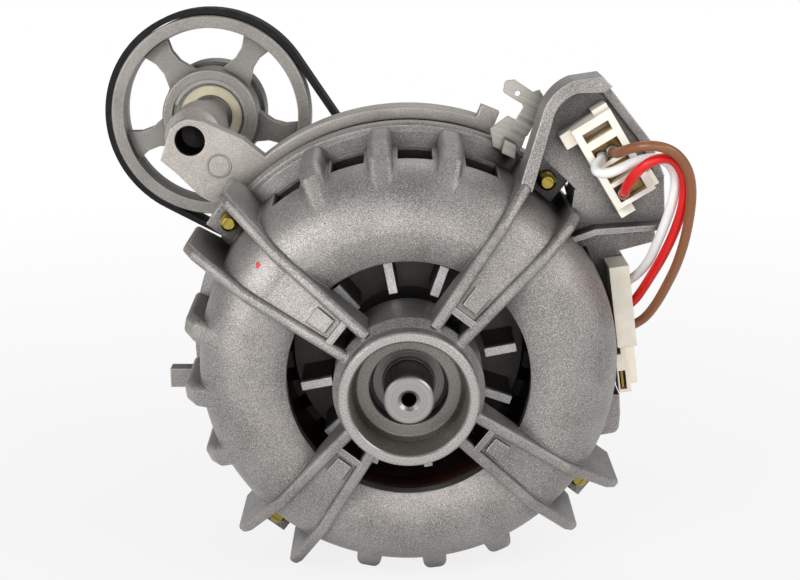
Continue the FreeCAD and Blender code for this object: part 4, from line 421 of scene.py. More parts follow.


# %% [markdown]
# Two places get a near-black painted shade from every side: the inside of the front dome, behind
# the air windows, and the deep bore in the arm's end. Each belongs to a casting that is one mesh
# with one material, so a mask must say where it is. It could be stored on the points, but both are
# round forms, and a short formula draws them exactly.

# %% Masks of the places with painted shade
CROWN_R = 44 * MM
CROWN_Y = 15 * MM
DOME_ROUND_R = 18 * MM
SKIN_DEPTH = 2.6 * MM
WALL_DEPTH = 0.8 * MM
HUB_REACH = 36 * MM
STATOR_FRONT = 52 * MM
# How much of the near-black painted shade the dome's inside gets.
DOME_SHADE = 0.93
ARM_BORE_R = 4.9 * MM
BORE_FADE = 2 * MM


def under_dome(tree):
    """What lies under the front dome: y > 33 - sqrt(18^2 - (r - 44)^2) + 2.6 in millimetres, with
    r - 44 never below nought, inside the wall, outside the hub and in front of the stator."""
    rings = use_group(tree, turned_rings)
    out = maths(tree, "SUBTRACT", maths(tree, "MAXIMUM", rings["Radius"], CROWN_R), CROWN_R)
    drop = maths(tree, "SUBTRACT", DOME_ROUND_R ** 2, maths(tree, "MULTIPLY", out, out))
    outside = maths(tree, "SUBTRACT", CROWN_Y + DOME_ROUND_R,
                    maths(tree, "SQRT", maths(tree, "MAXIMUM", drop, 0.0)))
    behind = maths(tree, "GREATER_THAN", rings["Along"], maths(tree, "ADD", outside, SKIN_DEPTH))
    within = maths(tree, "LESS_THAN", rings["Radius"], CROWN_R + DOME_ROUND_R - WALL_DEPTH)
    past_hub = maths(tree, "GREATER_THAN", rings["Radius"], HUB_REACH)
    before = maths(tree, "LESS_THAN", rings["Along"], STATOR_FRONT)
    mask = maths(tree, "MULTIPLY", maths(tree, "MULTIPLY", behind, within), before)
    return maths(tree, "MULTIPLY", maths(tree, "MULTIPLY", mask, past_hub), DOME_SHADE)


def in_arm_bore(tree):
    """Inside the arm's bore, about the pulley's axis, growing over 2 mm behind its mouth."""
    axle_low, axle_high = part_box("pulley_axle")
    mouth_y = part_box("tension_arm")[0].y
    about = use_group(tree, turned_rings, Axis_X=(axle_low.x + axle_high.x) / 2,
                      Axis_Z=(axle_low.z + axle_high.z) / 2)
    within = maths(tree, "LESS_THAN", about["Radius"], ARM_BORE_R)
    return maths(tree, "MULTIPLY", within, stretch(tree, about["Along"], mouth_y, mouth_y + BORE_FADE))


# %% [markdown]
# Most of the motor is cast aluminium. A plain grey metal would look like a drawing, so each casting
# starts from the sandy skin and is rubbed pale at its edges, which also get a painted highlight. Its
# corners get dust and a painted shade, and its hollows a near-black painted shade. Where a lathe has
# cut it, fine rings take the place of the sand. The shields are the sandiest, the arm is smoother,
# lighter and warmer, and the large pulley is darker.

# %% Castings
# For each zone that is turned, its largest radius, its largest Y and the two tones of its rings.
FACE_RING = (19.3 * MM, 0.7 * MM, (0.26, 0.25, 0.24), (0.52, 0.50, 0.48))
# The recess's ring tones are darkened below its own tone as a painted shade on its walls.
SHADED_RECESS = (17.2 * MM, 14.4 * MM, (0.17, 0.155, 0.138), (0.36, 0.34, 0.31))

# Near-black painted shade for the hollows and the masked places.
SHADE_BLACK = (0.012, 0.010, 0.009)
CASTING_METAL = 0.65
# Share of the edges' wear and painted highlight.
WORN_AND_HIGHLIT_EDGE_SHARE = 0.9
# Tone and share of the corners' dust and painted shade.
CORNER_DUST_AND_SHADE_TONE = 0.35
CORNER_DUST_AND_SHADE_SHARE = 0.8
# Share of the hollows' painted shade.
HOLLOW_SHADE_SHARE = 0.85
LATHE_GLOSS = 0.15


def casting(name, dark, light, worn_and_highlit_edge, grain=2200.0, contrast=1.0, machined=(), shaded_place=None):
    """Cast aluminium with dark and light grains, and edges rubbed pale with a painted highlight.
    Corners get dust and a painted shade, and hollows a near-black painted shade. machined lists the
    zones about the shaft that a lathe has cut, and the last argument makes the mask of a place that
    gets a near-black painted shade all over."""
    tree, shader = new_finish(name, Metallic=CASTING_METAL)
    skin = use_group(tree, cast_skin, Dark=dark, Light=light, Grain_Scale=grain, Contrast=contrast)
    edges = use_group(tree, edges_and_corners, Radius=0.7 * MM, Corner_Reach=9 * MM)
    # The corners' tone is dust and a painted shade.
    dust = tuple(CORNER_DUST_AND_SHADE_TONE * part for part in dark)
    # Edges are rubbed pale and also get a painted highlight.
    worn_and_highlit = maths(tree, "MULTIPLY", edges["Edge"], WORN_AND_HIGHLIT_EDGE_SHARE)
    corner_dust_and_shade = maths(tree, "MULTIPLY", edges["Corner"], CORNER_DUST_AND_SHADE_SHARE)
    colour = blend_colours(tree, worn_and_highlit, skin["Color"], worn_and_highlit_edge)
    colour = blend_colours(tree, corner_dust_and_shade, colour, dust)
    roughness = skin["Roughness"]
    height = skin["Height"]
    if machined:
        rings = use_group(tree, turned_rings)
        zone = 0.0
        for radius, along, ring_dark, ring_light in machined:
            inside = maths(tree, "MULTIPLY", maths(tree, "LESS_THAN", rings["Radius"], radius),
                           maths(tree, "LESS_THAN", rings["Along"], along))
            zone = maths(tree, "MAXIMUM", zone, inside)
            lathe = blend_colours(tree, rings["Tone"], ring_dark, ring_light)
            colour = blend_colours(tree, inside, colour, lathe)
        roughness = maths(tree, "SUBTRACT", roughness, maths(tree, "MULTIPLY", zone, LATHE_GLOSS))
        height = maths(tree, "MULTIPLY", height, maths(tree, "SUBTRACT", 1.0, zone))
    # Painted shade: the hollows and the masked place go near-black.
    painted_shade = maths(tree, "MULTIPLY", edges["Hollow"], HOLLOW_SHADE_SHARE)
    if shaded_place:
        painted_shade = maths(tree, "MAXIMUM", painted_shade, shaded_place(tree))
    fill(tree, shader.inputs["Base Color"], blend_colours(tree, painted_shade, colour, SHADE_BLACK))
    fill(tree, shader.inputs["Roughness"], roughness)
    relief(tree, shader, height, depth=0.08 * MM, normal=edges["Normal"])


casting("cast_aluminium", (0.105, 0.098, 0.091), (0.40, 0.378, 0.36), (0.66, 0.64, 0.61),
        grain=2000.0, contrast=1.3, machined=[FACE_RING, SHADED_RECESS], shaded_place=under_dome)
casting("arm_casting", (0.22, 0.202, 0.182), (0.50, 0.467, 0.43), (0.62, 0.595, 0.56),
        shaded_place=in_arm_bore)
casting("pulley_casting", (0.12, 0.112, 0.10), (0.32, 0.303, 0.28), (0.58, 0.56, 0.535))
print("castings:", sorted(finishes))

# %% [markdown]
# Steel and brass parts are turned, ground or rolled, so they have fine lines and a harder gloss than
# a casting. One function serves them all, with a painted shade in their hollows. The shaft's end face
# is left clear, but behind it the steel near the axis gets a painted shade, over a stretch of Y and
# not as a part of its own.

# %% Turned metals
SHADE_TONE = 0.2
SHADE_SHARE = 0.8
SHAFT_SHADE_REACH = 17 * MM
SHAFT_SHADE_FADE = 3 * MM
SHAFT_SHADE_SHARE = 0.8
UNSHADED_TIP = 0.6 * MM
SHAFT_SHADE_END_Y = 20 * MM
shaft_tip_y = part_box("shaft")[0].y


def turned_metal(name, dark, light, roughness, scale=4000.0, metal=1.0, shaded_stretch=None):
    """Metal with fine rings about the shaft's axis and a painted shade in its hollows. The last
    argument is a stretch of Y where what lies near the axis gets a painted shade."""
    tree, shader = new_finish(name, Metallic=metal)
    rings = use_group(tree, turned_rings, Line_Scale=scale)
    edges = use_group(tree, edges_and_corners, Radius=0.25 * MM, Corner_Reach=3 * MM)
    shade = tuple(SHADE_TONE * part for part in dark)
    colour = blend_colours(tree, stretch(tree, rings["Tone"], *NOISE_RANGE), dark, light)
    colour = blend_colours(tree, maths(tree, "MULTIPLY", edges["Hollow"], SHADE_SHARE), colour, shade)
    # Painted shade along the shaft's side, behind its end face.
    if shaded_stretch:
        start_y, end_y = shaded_stretch
        shaft_shade = maths(tree, "MULTIPLY", stretch(tree, rings["Along"], start_y, start_y + SHAFT_SHADE_FADE),
                     maths(tree, "LESS_THAN", rings["Along"], end_y))
        shaft_shade = maths(tree, "MULTIPLY", shaft_shade, maths(tree, "LESS_THAN", rings["Radius"], SHAFT_SHADE_REACH))
        colour = blend_colours(tree, maths(tree, "MULTIPLY", shaft_shade, SHAFT_SHADE_SHARE), colour, shade)
    uneven = stretch(tree, rings["Tone"], *NOISE_RANGE, roughness - 0.06, roughness + 0.08)
    fill(tree, shader.inputs["Base Color"], colour)
    fill(tree, shader.inputs["Roughness"], uneven)
    relief(tree, shader, rings["Tone"], depth=0.004 * MM, normal=edges["Normal"])


turned_metal("turned_steel", (0.22, 0.21, 0.20), (0.44, 0.425, 0.41), 0.38,
             shaded_stretch=(shaft_tip_y + UNSHADED_TIP, SHAFT_SHADE_END_Y))
turned_metal("bearing_steel", (0.16, 0.153, 0.145), (0.24, 0.233, 0.222), 0.28)
turned_metal("cage_brass", (0.50, 0.36, 0.14), (0.75, 0.58, 0.28), 0.35)
turned_metal("zinc_screw", (0.20, 0.145, 0.018), (0.56, 0.45, 0.12), 0.33, scale=900.0)
turned_metal("contact_brass", (0.26, 0.15, 0.03), (0.50, 0.32, 0.09), 0.4, scale=1200.0, metal=0.6)
turned_metal("earth_steel", (0.27, 0.262, 0.235), (0.42, 0.41, 0.37), 0.42, scale=700.0)
print("finishes so far:", len(finishes))

# %% [markdown]
# The rotor's end ring carries cast blades, which show through the windows of the shield. Their
# tips get a painted light, and all behind them a near-black painted shade. The blades and the ring
# are one casting, so the place along the shaft decides between the lit skin and the shaded one.

# %% The rotor's end
blade_tip_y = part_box("rotor_cage")[0].y
LIGHT_FADE_DEPTH = 2.4 * MM
FULLY_LIT_SHARE = 0.2


def rotor_finish(name):
    """Painted light up to a fifth of the tip's depth, fading to a near-black painted shade at its
    whole depth.
    """
    tree, shader = new_finish(name, Metallic=0.5)
    # The skin behind is a near-black painted shade, and the skin at the tips a painted light.
    behind = use_group(tree, cast_skin, Dark=(0.030, 0.026, 0.024), Light=(0.10, 0.09, 0.085),
                       Grain_Scale=1800.0, Contrast=0.6)
    lit_skin = use_group(tree, cast_skin, Dark=(0.42, 0.41, 0.40), Light=(0.85, 0.84, 0.83),
                       Grain_Scale=1500.0, Contrast=0.9)
    along = add_node(tree, "ShaderNodeSeparateXYZ", Vector=object_place(tree)).outputs["Y"]
    fade_from = blade_tip_y + FULLY_LIT_SHARE * LIGHT_FADE_DEPTH
    tip = stretch(tree, along, fade_from, blade_tip_y + LIGHT_FADE_DEPTH, 1.0, 0.0)
    fill(tree, shader.inputs["Base Color"], blend_colours(tree, tip, behind["Color"], lit_skin["Color"]))
    fill(tree, shader.inputs["Roughness"], behind["Roughness"])
    relief(tree, shader, behind["Height"], depth=0.1 * MM)


rotor_finish("rotor_casting")
print("blade tips at Y =", round(blade_tip_y, 4))

# %% [markdown]
# The core is a stack of half-millimetre steel sheets under dark varnish, and the windings are
# enamelled copper. Neither needs its sheets or turns as real geometry, as they show only through the
# windows: a saw-tooth of the place along the shaft cuts the sheets, and rings about it lay the wire.

# %% Sheets and windings
SHEETS_PER_METRE = 2000.0
SHEET_GAP = 0.25


def laminated(name):
    """Sheets: the fraction of 2000 y rises over its first quarter, which leaves a groove between
    two sheets. Rust comes in soft spots of noise."""
    tree, shader = new_finish(name, Metallic=0.6)
    place = object_place(tree)
    along = add_node(tree, "ShaderNodeSeparateXYZ", Vector=place).outputs["Y"]
    sheets = maths(tree, "FRACT", maths(tree, "MULTIPLY", along, SHEETS_PER_METRE))
    rust = noise(tree, place, 130.0, 5.0)
    colour = blend_colours(tree, stretch(tree, rust, 0.45, 0.7), (0.035, 0.032, 0.030),
                           (0.075, 0.045, 0.03))
    fill(tree, shader.inputs["Base Color"], colour)
    fill(tree, shader.inputs["Roughness"], stretch(tree, rust, *NOISE_RANGE, 0.45, 0.7))
    relief(tree, shader, stretch(tree, sheets, 0.0, SHEET_GAP), depth=0.05 * MM)


def varnished_copper(name):
    """Enamelled wire, wound close: lines round the axis under red-brown varnish."""
    tree, shader = new_finish(name, Metallic=0.5, Coat_Weight=0.4, Coat_Roughness=0.2)
    rings = use_group(tree, turned_rings, Line_Scale=1500.0)
    colour = blend_colours(tree, stretch(tree, rings["Tone"], 0.35, 0.65),
                           (0.012, 0.003, 0.002), (0.075, 0.020, 0.009))
    fill(tree, shader.inputs["Base Color"], colour)
    fill(tree, shader.inputs["Roughness"], stretch(tree, rings["Tone"], *NOISE_RANGE, 0.3, 0.5))
    relief(tree, shader, rings["Tone"], depth=0.3 * MM)


laminated("laminations")
varnished_copper("copper_winding")
print("sheets of", 1000 / SHEETS_PER_METRE, "mm")

# %% [markdown]
# The plug, the connector, the seals and the wires' skins are moulded. White nylon yellows in its
# corners, where fingers don't rub it clean, so each plastic has a base and a warmer stain, which in
# the corners also stands for a painted shade. A thin coat gives the wires the shine of soft vinyl,
# which hard nylon lacks.

# %% Plastics
BLACK_PLASTIC = ((0.03, 0.03, 0.03), (0.01, 0.01, 0.01))


def moulding(name, base, stain, coat=0.0):
    """Moulded plastic, stained in its corners by yellowing and a painted shade."""
    tree, shader = new_finish(name, Coat_Weight=coat, Coat_Roughness=0.25)
    edges = use_group(tree, edges_and_corners, Radius=0.35 * MM, Corner_Reach=4 * MM)
    skin = use_group(tree, moulded_skin, Base=base, Stain=stain, Corner=edges["Corner"])
    fill(tree, shader.inputs["Base Color"], skin["Color"])
    fill(tree, shader.inputs["Roughness"], skin["Roughness"])
    relief(tree, shader, skin["Height"], depth=0.02 * MM, normal=edges["Normal"])


moulding("white_plastic", (0.86, 0.83, 0.75), (0.42, 0.26, 0.07))
moulding("cream_plastic", (0.89, 0.84, 0.73), (0.50, 0.33, 0.12))
moulding("pulley_seal", (0.56, 0.50, 0.36), (0.20, 0.16, 0.10))
moulding("bearing_seal", *BLACK_PLASTIC)
moulding("thermal_case", *BLACK_PLASTIC)
moulding("white_insulation", (0.84, 0.84, 0.83), (0.60, 0.58, 0.54), coat=0.1)
moulding("red_insulation", (0.70, 0.004, 0.003), (0.45, 0.0, 0.0), coat=0.08)
moulding("brown_insulation", (0.23, 0.085, 0.03), (0.12, 0.04, 0.015), coat=0.1)
print("finishes so far:", len(finishes))

# %% [markdown]
# The small belt is black rubber, with fine lines along its length from its moulding and a little
# grey dust from wear. It runs in a plane square to Y, so a noise of Y alone draws lines that follow
# it all the way round, and no texture has to be wrapped along it.

# %% The belt's rubber
def belt_rubber(name):
    """Black rubber with fine lines along its length and a little grey dust."""
    tree, shader = new_finish(name, Specular_IOR_Level=0.25)
    place = object_place(tree)
    along = add_node(tree, "ShaderNodeSeparateXYZ", Vector=place).outputs["Y"]
    dust = noise(tree, place, 420.0, 4.0)
    share = maths(tree, "MULTIPLY", stretch(tree, dust, 0.5, 0.75), 0.5)
    colour = blend_colours(tree, share, (0.007, 0.007, 0.007), (0.022, 0.021, 0.020))
    fill(tree, shader.inputs["Base Color"], colour)
    fill(tree, shader.inputs["Roughness"], stretch(tree, dust, *NOISE_RANGE, 0.6, 0.85))
    relief(tree, shader, lines_along(tree, along, 2600.0, 1.0), depth=0.08 * MM)


belt_rubber("belt_rubber")
print("all finishes:", len(finishes))

# %% [markdown]
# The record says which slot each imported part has, and a slot's name is its finish's name. Dressing
# all parts is then one short loop, and no part can be forgotten.

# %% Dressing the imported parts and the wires
def dress(piece, finish):
    """Give an object one material."""
    piece.data.materials.clear()
    piece.data.materials.append(finishes[finish])


for row in frame["record"]["subparts"]:
    dress(nodes[row["node"]], row["material_slot"])
for colour, piece in wires.items():
    dress(piece, f"{colour}_insulation")

# %% [markdown]
# New pieces are surfaces worked out on a grid: a function of two parameters gives a whole array of
# points, and one helper joins neighbouring points with quads. Several surfaces can share a mesh.
# Ready-made cylinders would be quicker, but they have no thread and no uneven rim.

# %% Helpers for surfaces
def quads_of(rows, columns, close_rows=False, close_columns=False):
    """Corners of each grid cell: the point, its right neighbour, the diagonal and the one below."""
    index = np.arange(rows * columns).reshape(rows, columns)
    if close_rows:
        index = np.vstack([index, index[:1]])
    if close_columns:
        index = np.hstack([index, index[:, :1]])
    cells = [index[:-1, :-1], index[:-1, 1:], index[1:, 1:], index[1:, :-1]]
    return np.stack(cells, axis=-1).reshape(-1, 4)


def full_turn(steps):
    """Angles of one turn, without the last one, which is the first again."""
    return np.linspace(0, 2 * math.pi, steps, endpoint=False)


def square_to(direction, helper):
    """Three unit arrows: along a direction, and two that stand square to it and to each other."""
    along = np.asarray(direction, float)
    along = along / np.linalg.norm(along)
    side = np.cross(along, helper)
    side = side / np.linalg.norm(side)
    return along, side, np.cross(along, side)


# Points nearer than a seam's gap become one, and edges shorter than a sliver go; both in metres.
SEAM_GAP = 1e-6
SLIVER = 1e-7


def make_piece(name, patches, body, slot, finish=None, smooth=True):
    """Join (points, quads) patches into one mesh, merge its seams and poles, turn its faces
    outwards, and let it ride on a body."""
    points = []
    faces = []
    count = 0
    for grid, quads in patches:
        flat = grid.reshape(-1, 3)
        points.append(flat)
        faces.append(quads + count)
        count += len(flat)
    mesh = bpy.data.meshes.new(name)
    mesh.from_pydata(np.concatenate(points), [], np.concatenate(faces).tolist())
    work = bmesh.new()
    work.from_mesh(mesh)
    bmesh.ops.remove_doubles(work, verts=work.verts, dist=SEAM_GAP)
    bmesh.ops.dissolve_degenerate(work, edges=work.edges, dist=SLIVER)
    bmesh.ops.recalc_face_normals(work, faces=work.faces)
    work.to_mesh(mesh)
    work.free()
    mesh.polygons.foreach_set("use_smooth", np.full(len(mesh.polygons), smooth))
    piece = bpy.data.objects.new(name, mesh)
    bpy.context.scene.collection.objects.link(piece)
    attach(piece, body)
    dress(piece, finish or slot)
    print(name, "faces:", len(mesh.polygons))
    return piece


# %% [markdown]
# The screws come through the front shield's seats, so their tips show with their thread. Rings side
# by side would be simpler, but each closes on itself, and a real thread climbs. It is a helix: the
# radius at each point depends on how far its place along the screw, less the part of a turn made so
# far, lies from a crest. Sizes and places of the new pieces are in millimetres.

# %% Threads of the screw tips
SCREW_CIRCLE = 67.0
SCREW_ANGLES = [52.5 + 90.0 * k for k in range(4)]
THREAD_SPAN = (40.4, 44.95)
THREAD_PITCH = 0.8
THREAD_ROOT = 2.42
THREAD_CREST = 2.62
THREAD_END = 0.8 * THREAD_ROOT
THREAD_STEPS = (40, 72)


def thread_sleeve(x, z):
    """radius = root + (crest - root) (1 - |2 f - 1|), f the fraction of (y / pitch - a / 2 pi);
    the first and last ring shrink under the screw's own surface."""
    a, y = np.meshgrid(full_turn(THREAD_STEPS[0]), np.linspace(*THREAD_SPAN, THREAD_STEPS[1]),
                       indexing="ij")
    phase = np.mod(y / THREAD_PITCH - a / (2 * math.pi), 1.0)
    radius = THREAD_ROOT + (THREAD_CREST - THREAD_ROOT) * (1 - np.abs(2 * phase - 1))
    radius[:, [0, -1]] = THREAD_END
    grid = np.stack([x + radius * np.cos(a), y, z + radius * np.sin(a)], axis=-1) * MM
    return grid, quads_of(*THREAD_STEPS, close_rows=True)


sleeves = []
for angle in np.radians(SCREW_ANGLES):
    sleeves.append(thread_sleeve(SCREW_CIRCLE * math.cos(angle), SCREW_CIRCLE * math.sin(angle)))
make_piece("screw_threads", sleeves, "housing", "zinc_screw")

# %% [markdown]
# Each contact grips its wire with two folded wings, which show as small pale rings at the mouth of
# the cavity. Folding real wings would cost much work for two bright lines, so each is a ring: a
# circle carried round a circle that stands square to the wire.

# %% Crimps on the wire ends
CRIMP_SHARES = (0.35, 0.75)
CRIMP_R = 1.5
CRIMP_WING_R = 0.28
CRIMP_STEPS = (36, 10)
UPRIGHT = (0.0, 0.0, 1.0)


def ring_about(point, direction):
    """Torus about a direction: point + (ring r + wing r cos b) e(a) + wing r sin b * direction,
    where e(a) turns in the plane square to it."""
    axis, side, up = square_to(direction, UPRIGHT)
    a, b = np.meshgrid(full_turn(CRIMP_STEPS[0]), full_turn(CRIMP_STEPS[1]), indexing="ij")
    reach = (CRIMP_R + CRIMP_WING_R * np.cos(b))[..., None]
    around = np.cos(a)[..., None] * side + np.sin(a)[..., None] * up
    lift = (CRIMP_WING_R * np.sin(b))[..., None] * axis
    grid = (np.asarray(point) + reach * around + lift) * MM
    return grid, quads_of(*CRIMP_STEPS, close_rows=True, close_columns=True)


crimps = []
for _, route in WIRE_ROUTES.values():
    first, second = np.asarray(route[:2])
    for share in CRIMP_SHARES:
        crimps.append(ring_about(first + share * (second - first), second - first))
make_piece("wire_crimps", crimps, "housing", "earth_steel")

# %% [markdown]
# Between the two ribs of each arm the casting has a shallow floor. It starts at a small cross wall
# near the hub, so that a square pocket stays open beside the boss, it carries a low island where
# the die had an insert, and it runs out into the dome. All three are plates between the middles of
# the two ribs, which spread apart outwards, so one function draws them.

# %% Floors between the ribs of the arms
ARM_SIDES = (1, -1, -1, 1)
RIB_START_R = 19.5
RIB_LENGTH = 52.0

# A rib's distance from the arm's middle line at its start and at its end.
NEAR_RIB = (5.7, 7.4)
FAR_RIB = (2.6, 11.2)

# The floor's first radius, and its Y there.
ARM_FLOOR_START = (26.0, 9.0)
ARM_FLOOR_SLOPE = 0.3
PLATE_ROWS = 10
PLATE_COLUMNS = 6
PLATES = {
    "floor": {"r_from": 26.0, "r_to": 48.0, "rise": 0.0, "deep": 2.2},
    "cross wall": {"r_from": 25.2, "r_to": 27.2, "rise": 1.3, "deep": 8.0},
    "island": {"r_from": 28.8, "r_to": 34.5, "rise": 0.7, "deep": 1.5, "inset": 0.27},
}


def rib_offset(r, ends):
    """Distance of a rib's middle from the arm's middle line, which grows evenly with r."""
    return ends[0] + (r - RIB_START_R) / RIB_LENGTH * (ends[1] - ends[0])


def arm_plate(angle, side, r_from, r_to, rise, deep, inset=0.0):
    """Plate in an arm: o runs from one rib to the other, x = r cos a - o sin a and
    z = r sin a + o cos a. Its front is the arm's floor less the rise, and its back lies deep
    behind that. The first and last rows fold its ends shut."""
    r = np.linspace(r_from, r_to, PLATE_ROWS)
    r = np.concatenate([r[:1], r, r[-1:]])[:, None]
    share = np.linspace(inset, 1 - inset, PLATE_COLUMNS)
    share = np.concatenate([share, share[::-1]])[None, :]
    near = side * rib_offset(r, NEAR_RIB)
    far = -side * rib_offset(r, FAR_RIB)
    offset = near + share * (far - near)
    start_r, start_y = ARM_FLOOR_START
    front = start_y + ARM_FLOOR_SLOPE * (r - start_r) - rise
    y = np.repeat(front, share.shape[1], axis=1)
    y[:, PLATE_COLUMNS:] += deep
    y[[0, -1], :PLATE_COLUMNS] += deep
    a = math.radians(angle)
    grid = np.stack([r * math.cos(a) - offset * math.sin(a), y,
                     r * math.sin(a) + offset * math.cos(a)], axis=-1) * MM
    return grid, quads_of(PLATE_ROWS + 2, 2 * PLATE_COLUMNS, close_columns=True)


floors = []
for angle, side in zip(SCREW_ANGLES, ARM_SIDES):
    for plate in PLATES.values():
        floors.append(arm_plate(angle, side, **plate))
make_piece("arm_floors", floors, "housing", "cast_aluminium", smooth=False)

# %% [markdown]
# Small marks tell a casting from a drawing. A pin that pushes the arm out of its die leaves a round
# mark on its plate. It could be a groove in the plate's own mesh, but a flat turned ring that stands
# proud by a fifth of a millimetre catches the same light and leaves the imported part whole.

# %% Ejector mark
MARK_PLACE = (-58.8, 53.0)
MARK_PROFILE = [(3.95, 0.02), (3.75, -0.16), (3.45, -0.18), (3.2, 0.02)]
MARK_STEPS = 48


def turned_shape(profile, centre):
    """Turn a closed profile of (radius, Y) about a line along Y through the centre:
    x = radius cos a, z = radius sin a."""
    outline = np.asarray(profile, float)
    a = full_turn(MARK_STEPS)[:, None]
    radius = outline[None, :, 0]
    y = np.repeat(outline[None, :, 1], MARK_STEPS, axis=0)
    grid = (np.stack([radius * np.cos(a), y, radius * np.sin(a)], axis=-1) + np.asarray(centre)) * MM
    return grid, quads_of(MARK_STEPS, len(outline), close_rows=True, close_columns=True)


arm_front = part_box("tension_arm")[0].y / MM
mark = turned_shape(MARK_PROFILE, (MARK_PLACE[0], arm_front, MARK_PLACE[1]))
make_piece("arm_ejector_mark", [mark], "tension_arm", "arm_casting")

# %% [markdown]
# An inspector leaves a dot of red paint on the dome. A painted circle in the material would be
# perfectly round and flat. A drop of paint is a low blob with an uneven rim, which stands square to
# the dome: the arrow from the middle of the dome's round to the drop gives its direction.

# %% Paint dot
DOT_PLACE = np.array([-42.46, 18.23, 33.82])
DOT_R = 0.8
DOT_RISE = 0.14
DOT_STEPS = (32, 8)
DOT_ROOT = -0.4
ALONG_SHAFT = (0.0, 1.0, 0.0)


def paint_dot(point, normal):
    """Blob on a slope: its rings shrink as cos b while its height grows as sin b, and its rim is
    uneven by 1 + 0.12 sin 2a + 0.07 sin(3a + 1). b starts below nought, under the paint's edge."""
    out, side, up = square_to(normal, ALONG_SHAFT)
    a, b = np.meshgrid(full_turn(DOT_STEPS[0]), np.linspace(DOT_ROOT, math.pi / 2, DOT_STEPS[1]),
                       indexing="ij")
    rim = 1 + 0.12 * np.sin(2 * a) + 0.07 * np.sin(3 * a + 1)
    reach = (DOT_R * np.cos(b) * rim)[..., None]
    around = np.cos(a)[..., None] * side + np.sin(a)[..., None] * up
    grid = (point + reach * around + (DOT_RISE * np.sin(b))[..., None] * out) * MM
    return grid, quads_of(*DOT_STEPS, close_rows=True)


outwards = CROWN_R / MM / math.hypot(DOT_PLACE[0], DOT_PLACE[2])
crown = np.array([outwards * DOT_PLACE[0], (CROWN_Y + DOME_ROUND_R) / MM, outwards * DOT_PLACE[2]])
dot = paint_dot(DOT_PLACE, DOT_PLACE - crown)
make_piece("inspection_dot", [dot], "housing", None, "red_insulation")

# %% [markdown]
# A white background comes from what is seen behind the motor, and never from more light on it. The
# floor is pale and keeps the soft shadow. What the camera and reflections see of it also gets a
# share of plain white, which grows away from the motor until the floor melts into the white world.

# %% Floor
FLOOR_HALF = 6.0
FLOOR_TONE = (0.62, 0.62, 0.62)
WHITE = (1.0, 1.0, 1.0)

# The white's share grows between two distances from the frame's origin.
SHADOW_REACH = (0.15, 0.6)
WHITE_SHARE = (0.84, 1.0)


def floor_material():
    """A matt tone that takes the shadow, and a white glow over it in what is seen of it: its share
    is 0.84 within 0.15 m of the frame's origin, and 1 from 0.6 m on."""
    material = bpy.data.materials.new("pale_floor")
    material.use_nodes = True
    tree = material.node_tree
    tree.nodes.clear()
    matt = add_node(tree, "ShaderNodeBsdfDiffuse", Color=FLOOR_TONE)
    white = add_node(tree, "ShaderNodeEmission", Color=WHITE, Strength=1.0)
    path = add_node(tree, "ShaderNodeLightPath").outputs
    seen = maths(tree, "MAXIMUM", path["Is Camera Ray"], path["Is Glossy Ray"])
    seen = maths(tree, "MAXIMUM", seen, path["Is Transmission Ray"])
    away = add_node(tree, "ShaderNodeVectorMath", {"operation": "LENGTH"})
    fill(tree, away.inputs[0], object_place(tree))
    whiteness = stretch(tree, away.outputs["Value"], *SHADOW_REACH, *WHITE_SHARE)
    mixed = add_node(tree, "ShaderNodeMixShader")
    tree.links.new(maths(tree, "MULTIPLY", seen, whiteness), mixed.inputs[0])
    tree.links.new(matt.outputs[0], mixed.inputs[1])
    tree.links.new(white.outputs[0], mixed.inputs[2])
    out = add_node(tree, "ShaderNodeOutputMaterial")
    tree.links.new(mixed.outputs[0], out.inputs["Surface"])
    return material


floor_mesh = bpy.data.meshes.new("floor")
floor_sides = ((-1, -1), (1, -1), (1, 1), (-1, 1))
floor_corners = [(x * FLOOR_HALF, y * FLOOR_HALF, cad_low.z) for x, y in floor_sides]
floor_mesh.from_pydata(floor_corners, [], [(0, 1, 2, 3)])
floor_mesh.materials.append(floor_material())
floor = bpy.data.objects.new("floor", floor_mesh)
bpy.context.scene.collection.objects.link(floor)
print("floor at Z =", round(cad_low.z, 4))

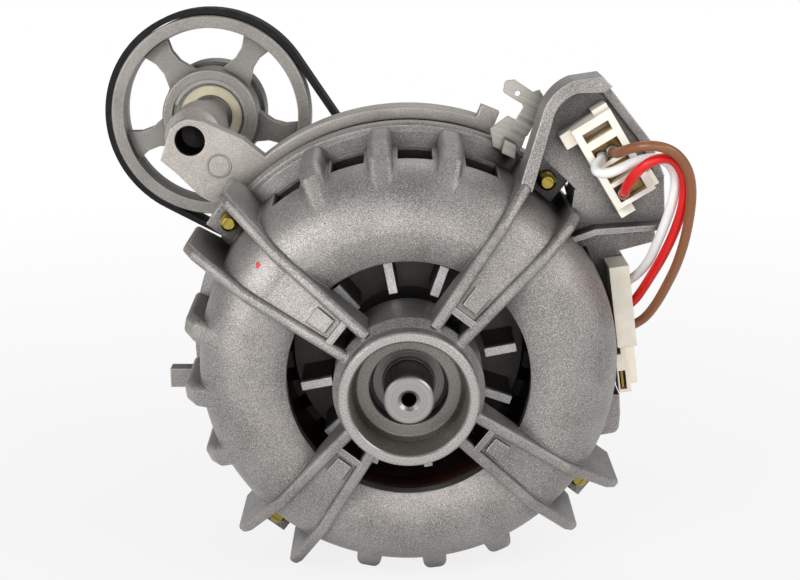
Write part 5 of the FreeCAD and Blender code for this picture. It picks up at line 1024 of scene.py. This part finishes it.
# %% [markdown]
# The world is white where the camera looks, and a soft grey as a light, which fills the shadows a
# little from all sides. One plain strength for both would either light the motor too much or leave
# the background grey.

# %% World
AMBIENT = (0.30, 0.30, 0.305)


def make_world():
    """A background that is white to camera and transmission rays, and the ambient grey to others."""
    world = bpy.data.worlds.new("studio")
    world.use_nodes = True
    tree = world.node_tree
    tree.nodes.clear()
    path = add_node(tree, "ShaderNodeLightPath").outputs
    seen = maths(tree, "MAXIMUM", path["Is Camera Ray"], path["Is Transmission Ray"])
    light = add_node(tree, "ShaderNodeBackground", Color=blend_colours(tree, seen, AMBIENT, WHITE),
                     Strength=1.0)
    out = add_node(tree, "ShaderNodeOutputWorld")
    tree.links.new(light.outputs[0], out.inputs["Surface"])
    return world


bpy.context.scene.world = make_world()
print("world:", bpy.context.scene.world.name)

# %% [markdown]
# Product photographs use large soft boxes, because a small lamp would draw hard spots on bare metal.
# The main one stands in front on the left, a wider and weaker one on the right, a third straight in
# front lifts the shadows under the dome, and one behind draws the top edges and serves other views.

# %% Lamps
MIDDLE = (0.0, 0.03, 0.0)

# For each lamp, its place, its side in metres and its power in watts.
LAMPS = {
    "soft_box_left": ((-0.85, -0.80, 0.40), 0.5, 10.5),
    "soft_box_right": ((0.85, -0.45, 0.55), 0.7, 6.0),
    "soft_box_front": ((0.05, -1.0, 0.15), 0.5, 3.0),
    "soft_box_back": ((0.1, 0.9, 0.9), 0.8, 3.0),
}


def soft_box(name, place, size, power):
    """Square area lamp that faces the motor's middle."""
    data = bpy.data.lights.new(name, "AREA")
    data.size = size
    data.energy = power
    lamp = bpy.data.objects.new(name, data)
    lamp.location = place
    aim = Vector(MIDDLE) - Vector(place)
    lamp.rotation_euler = aim.to_track_quat("-Z", "Y").to_euler()
    bpy.context.scene.collection.objects.link(lamp)


for name, (place, size, power) in LAMPS.items():
    soft_box(name, place, size, power)
bpy.context.scene.view_settings.view_transform = "Standard"
print("lamps:", len(LAMPS), "with", sum(power for place, size, power in LAMPS.values()), "W in all")

# %% [markdown]
# The scene is handed over as it stands.
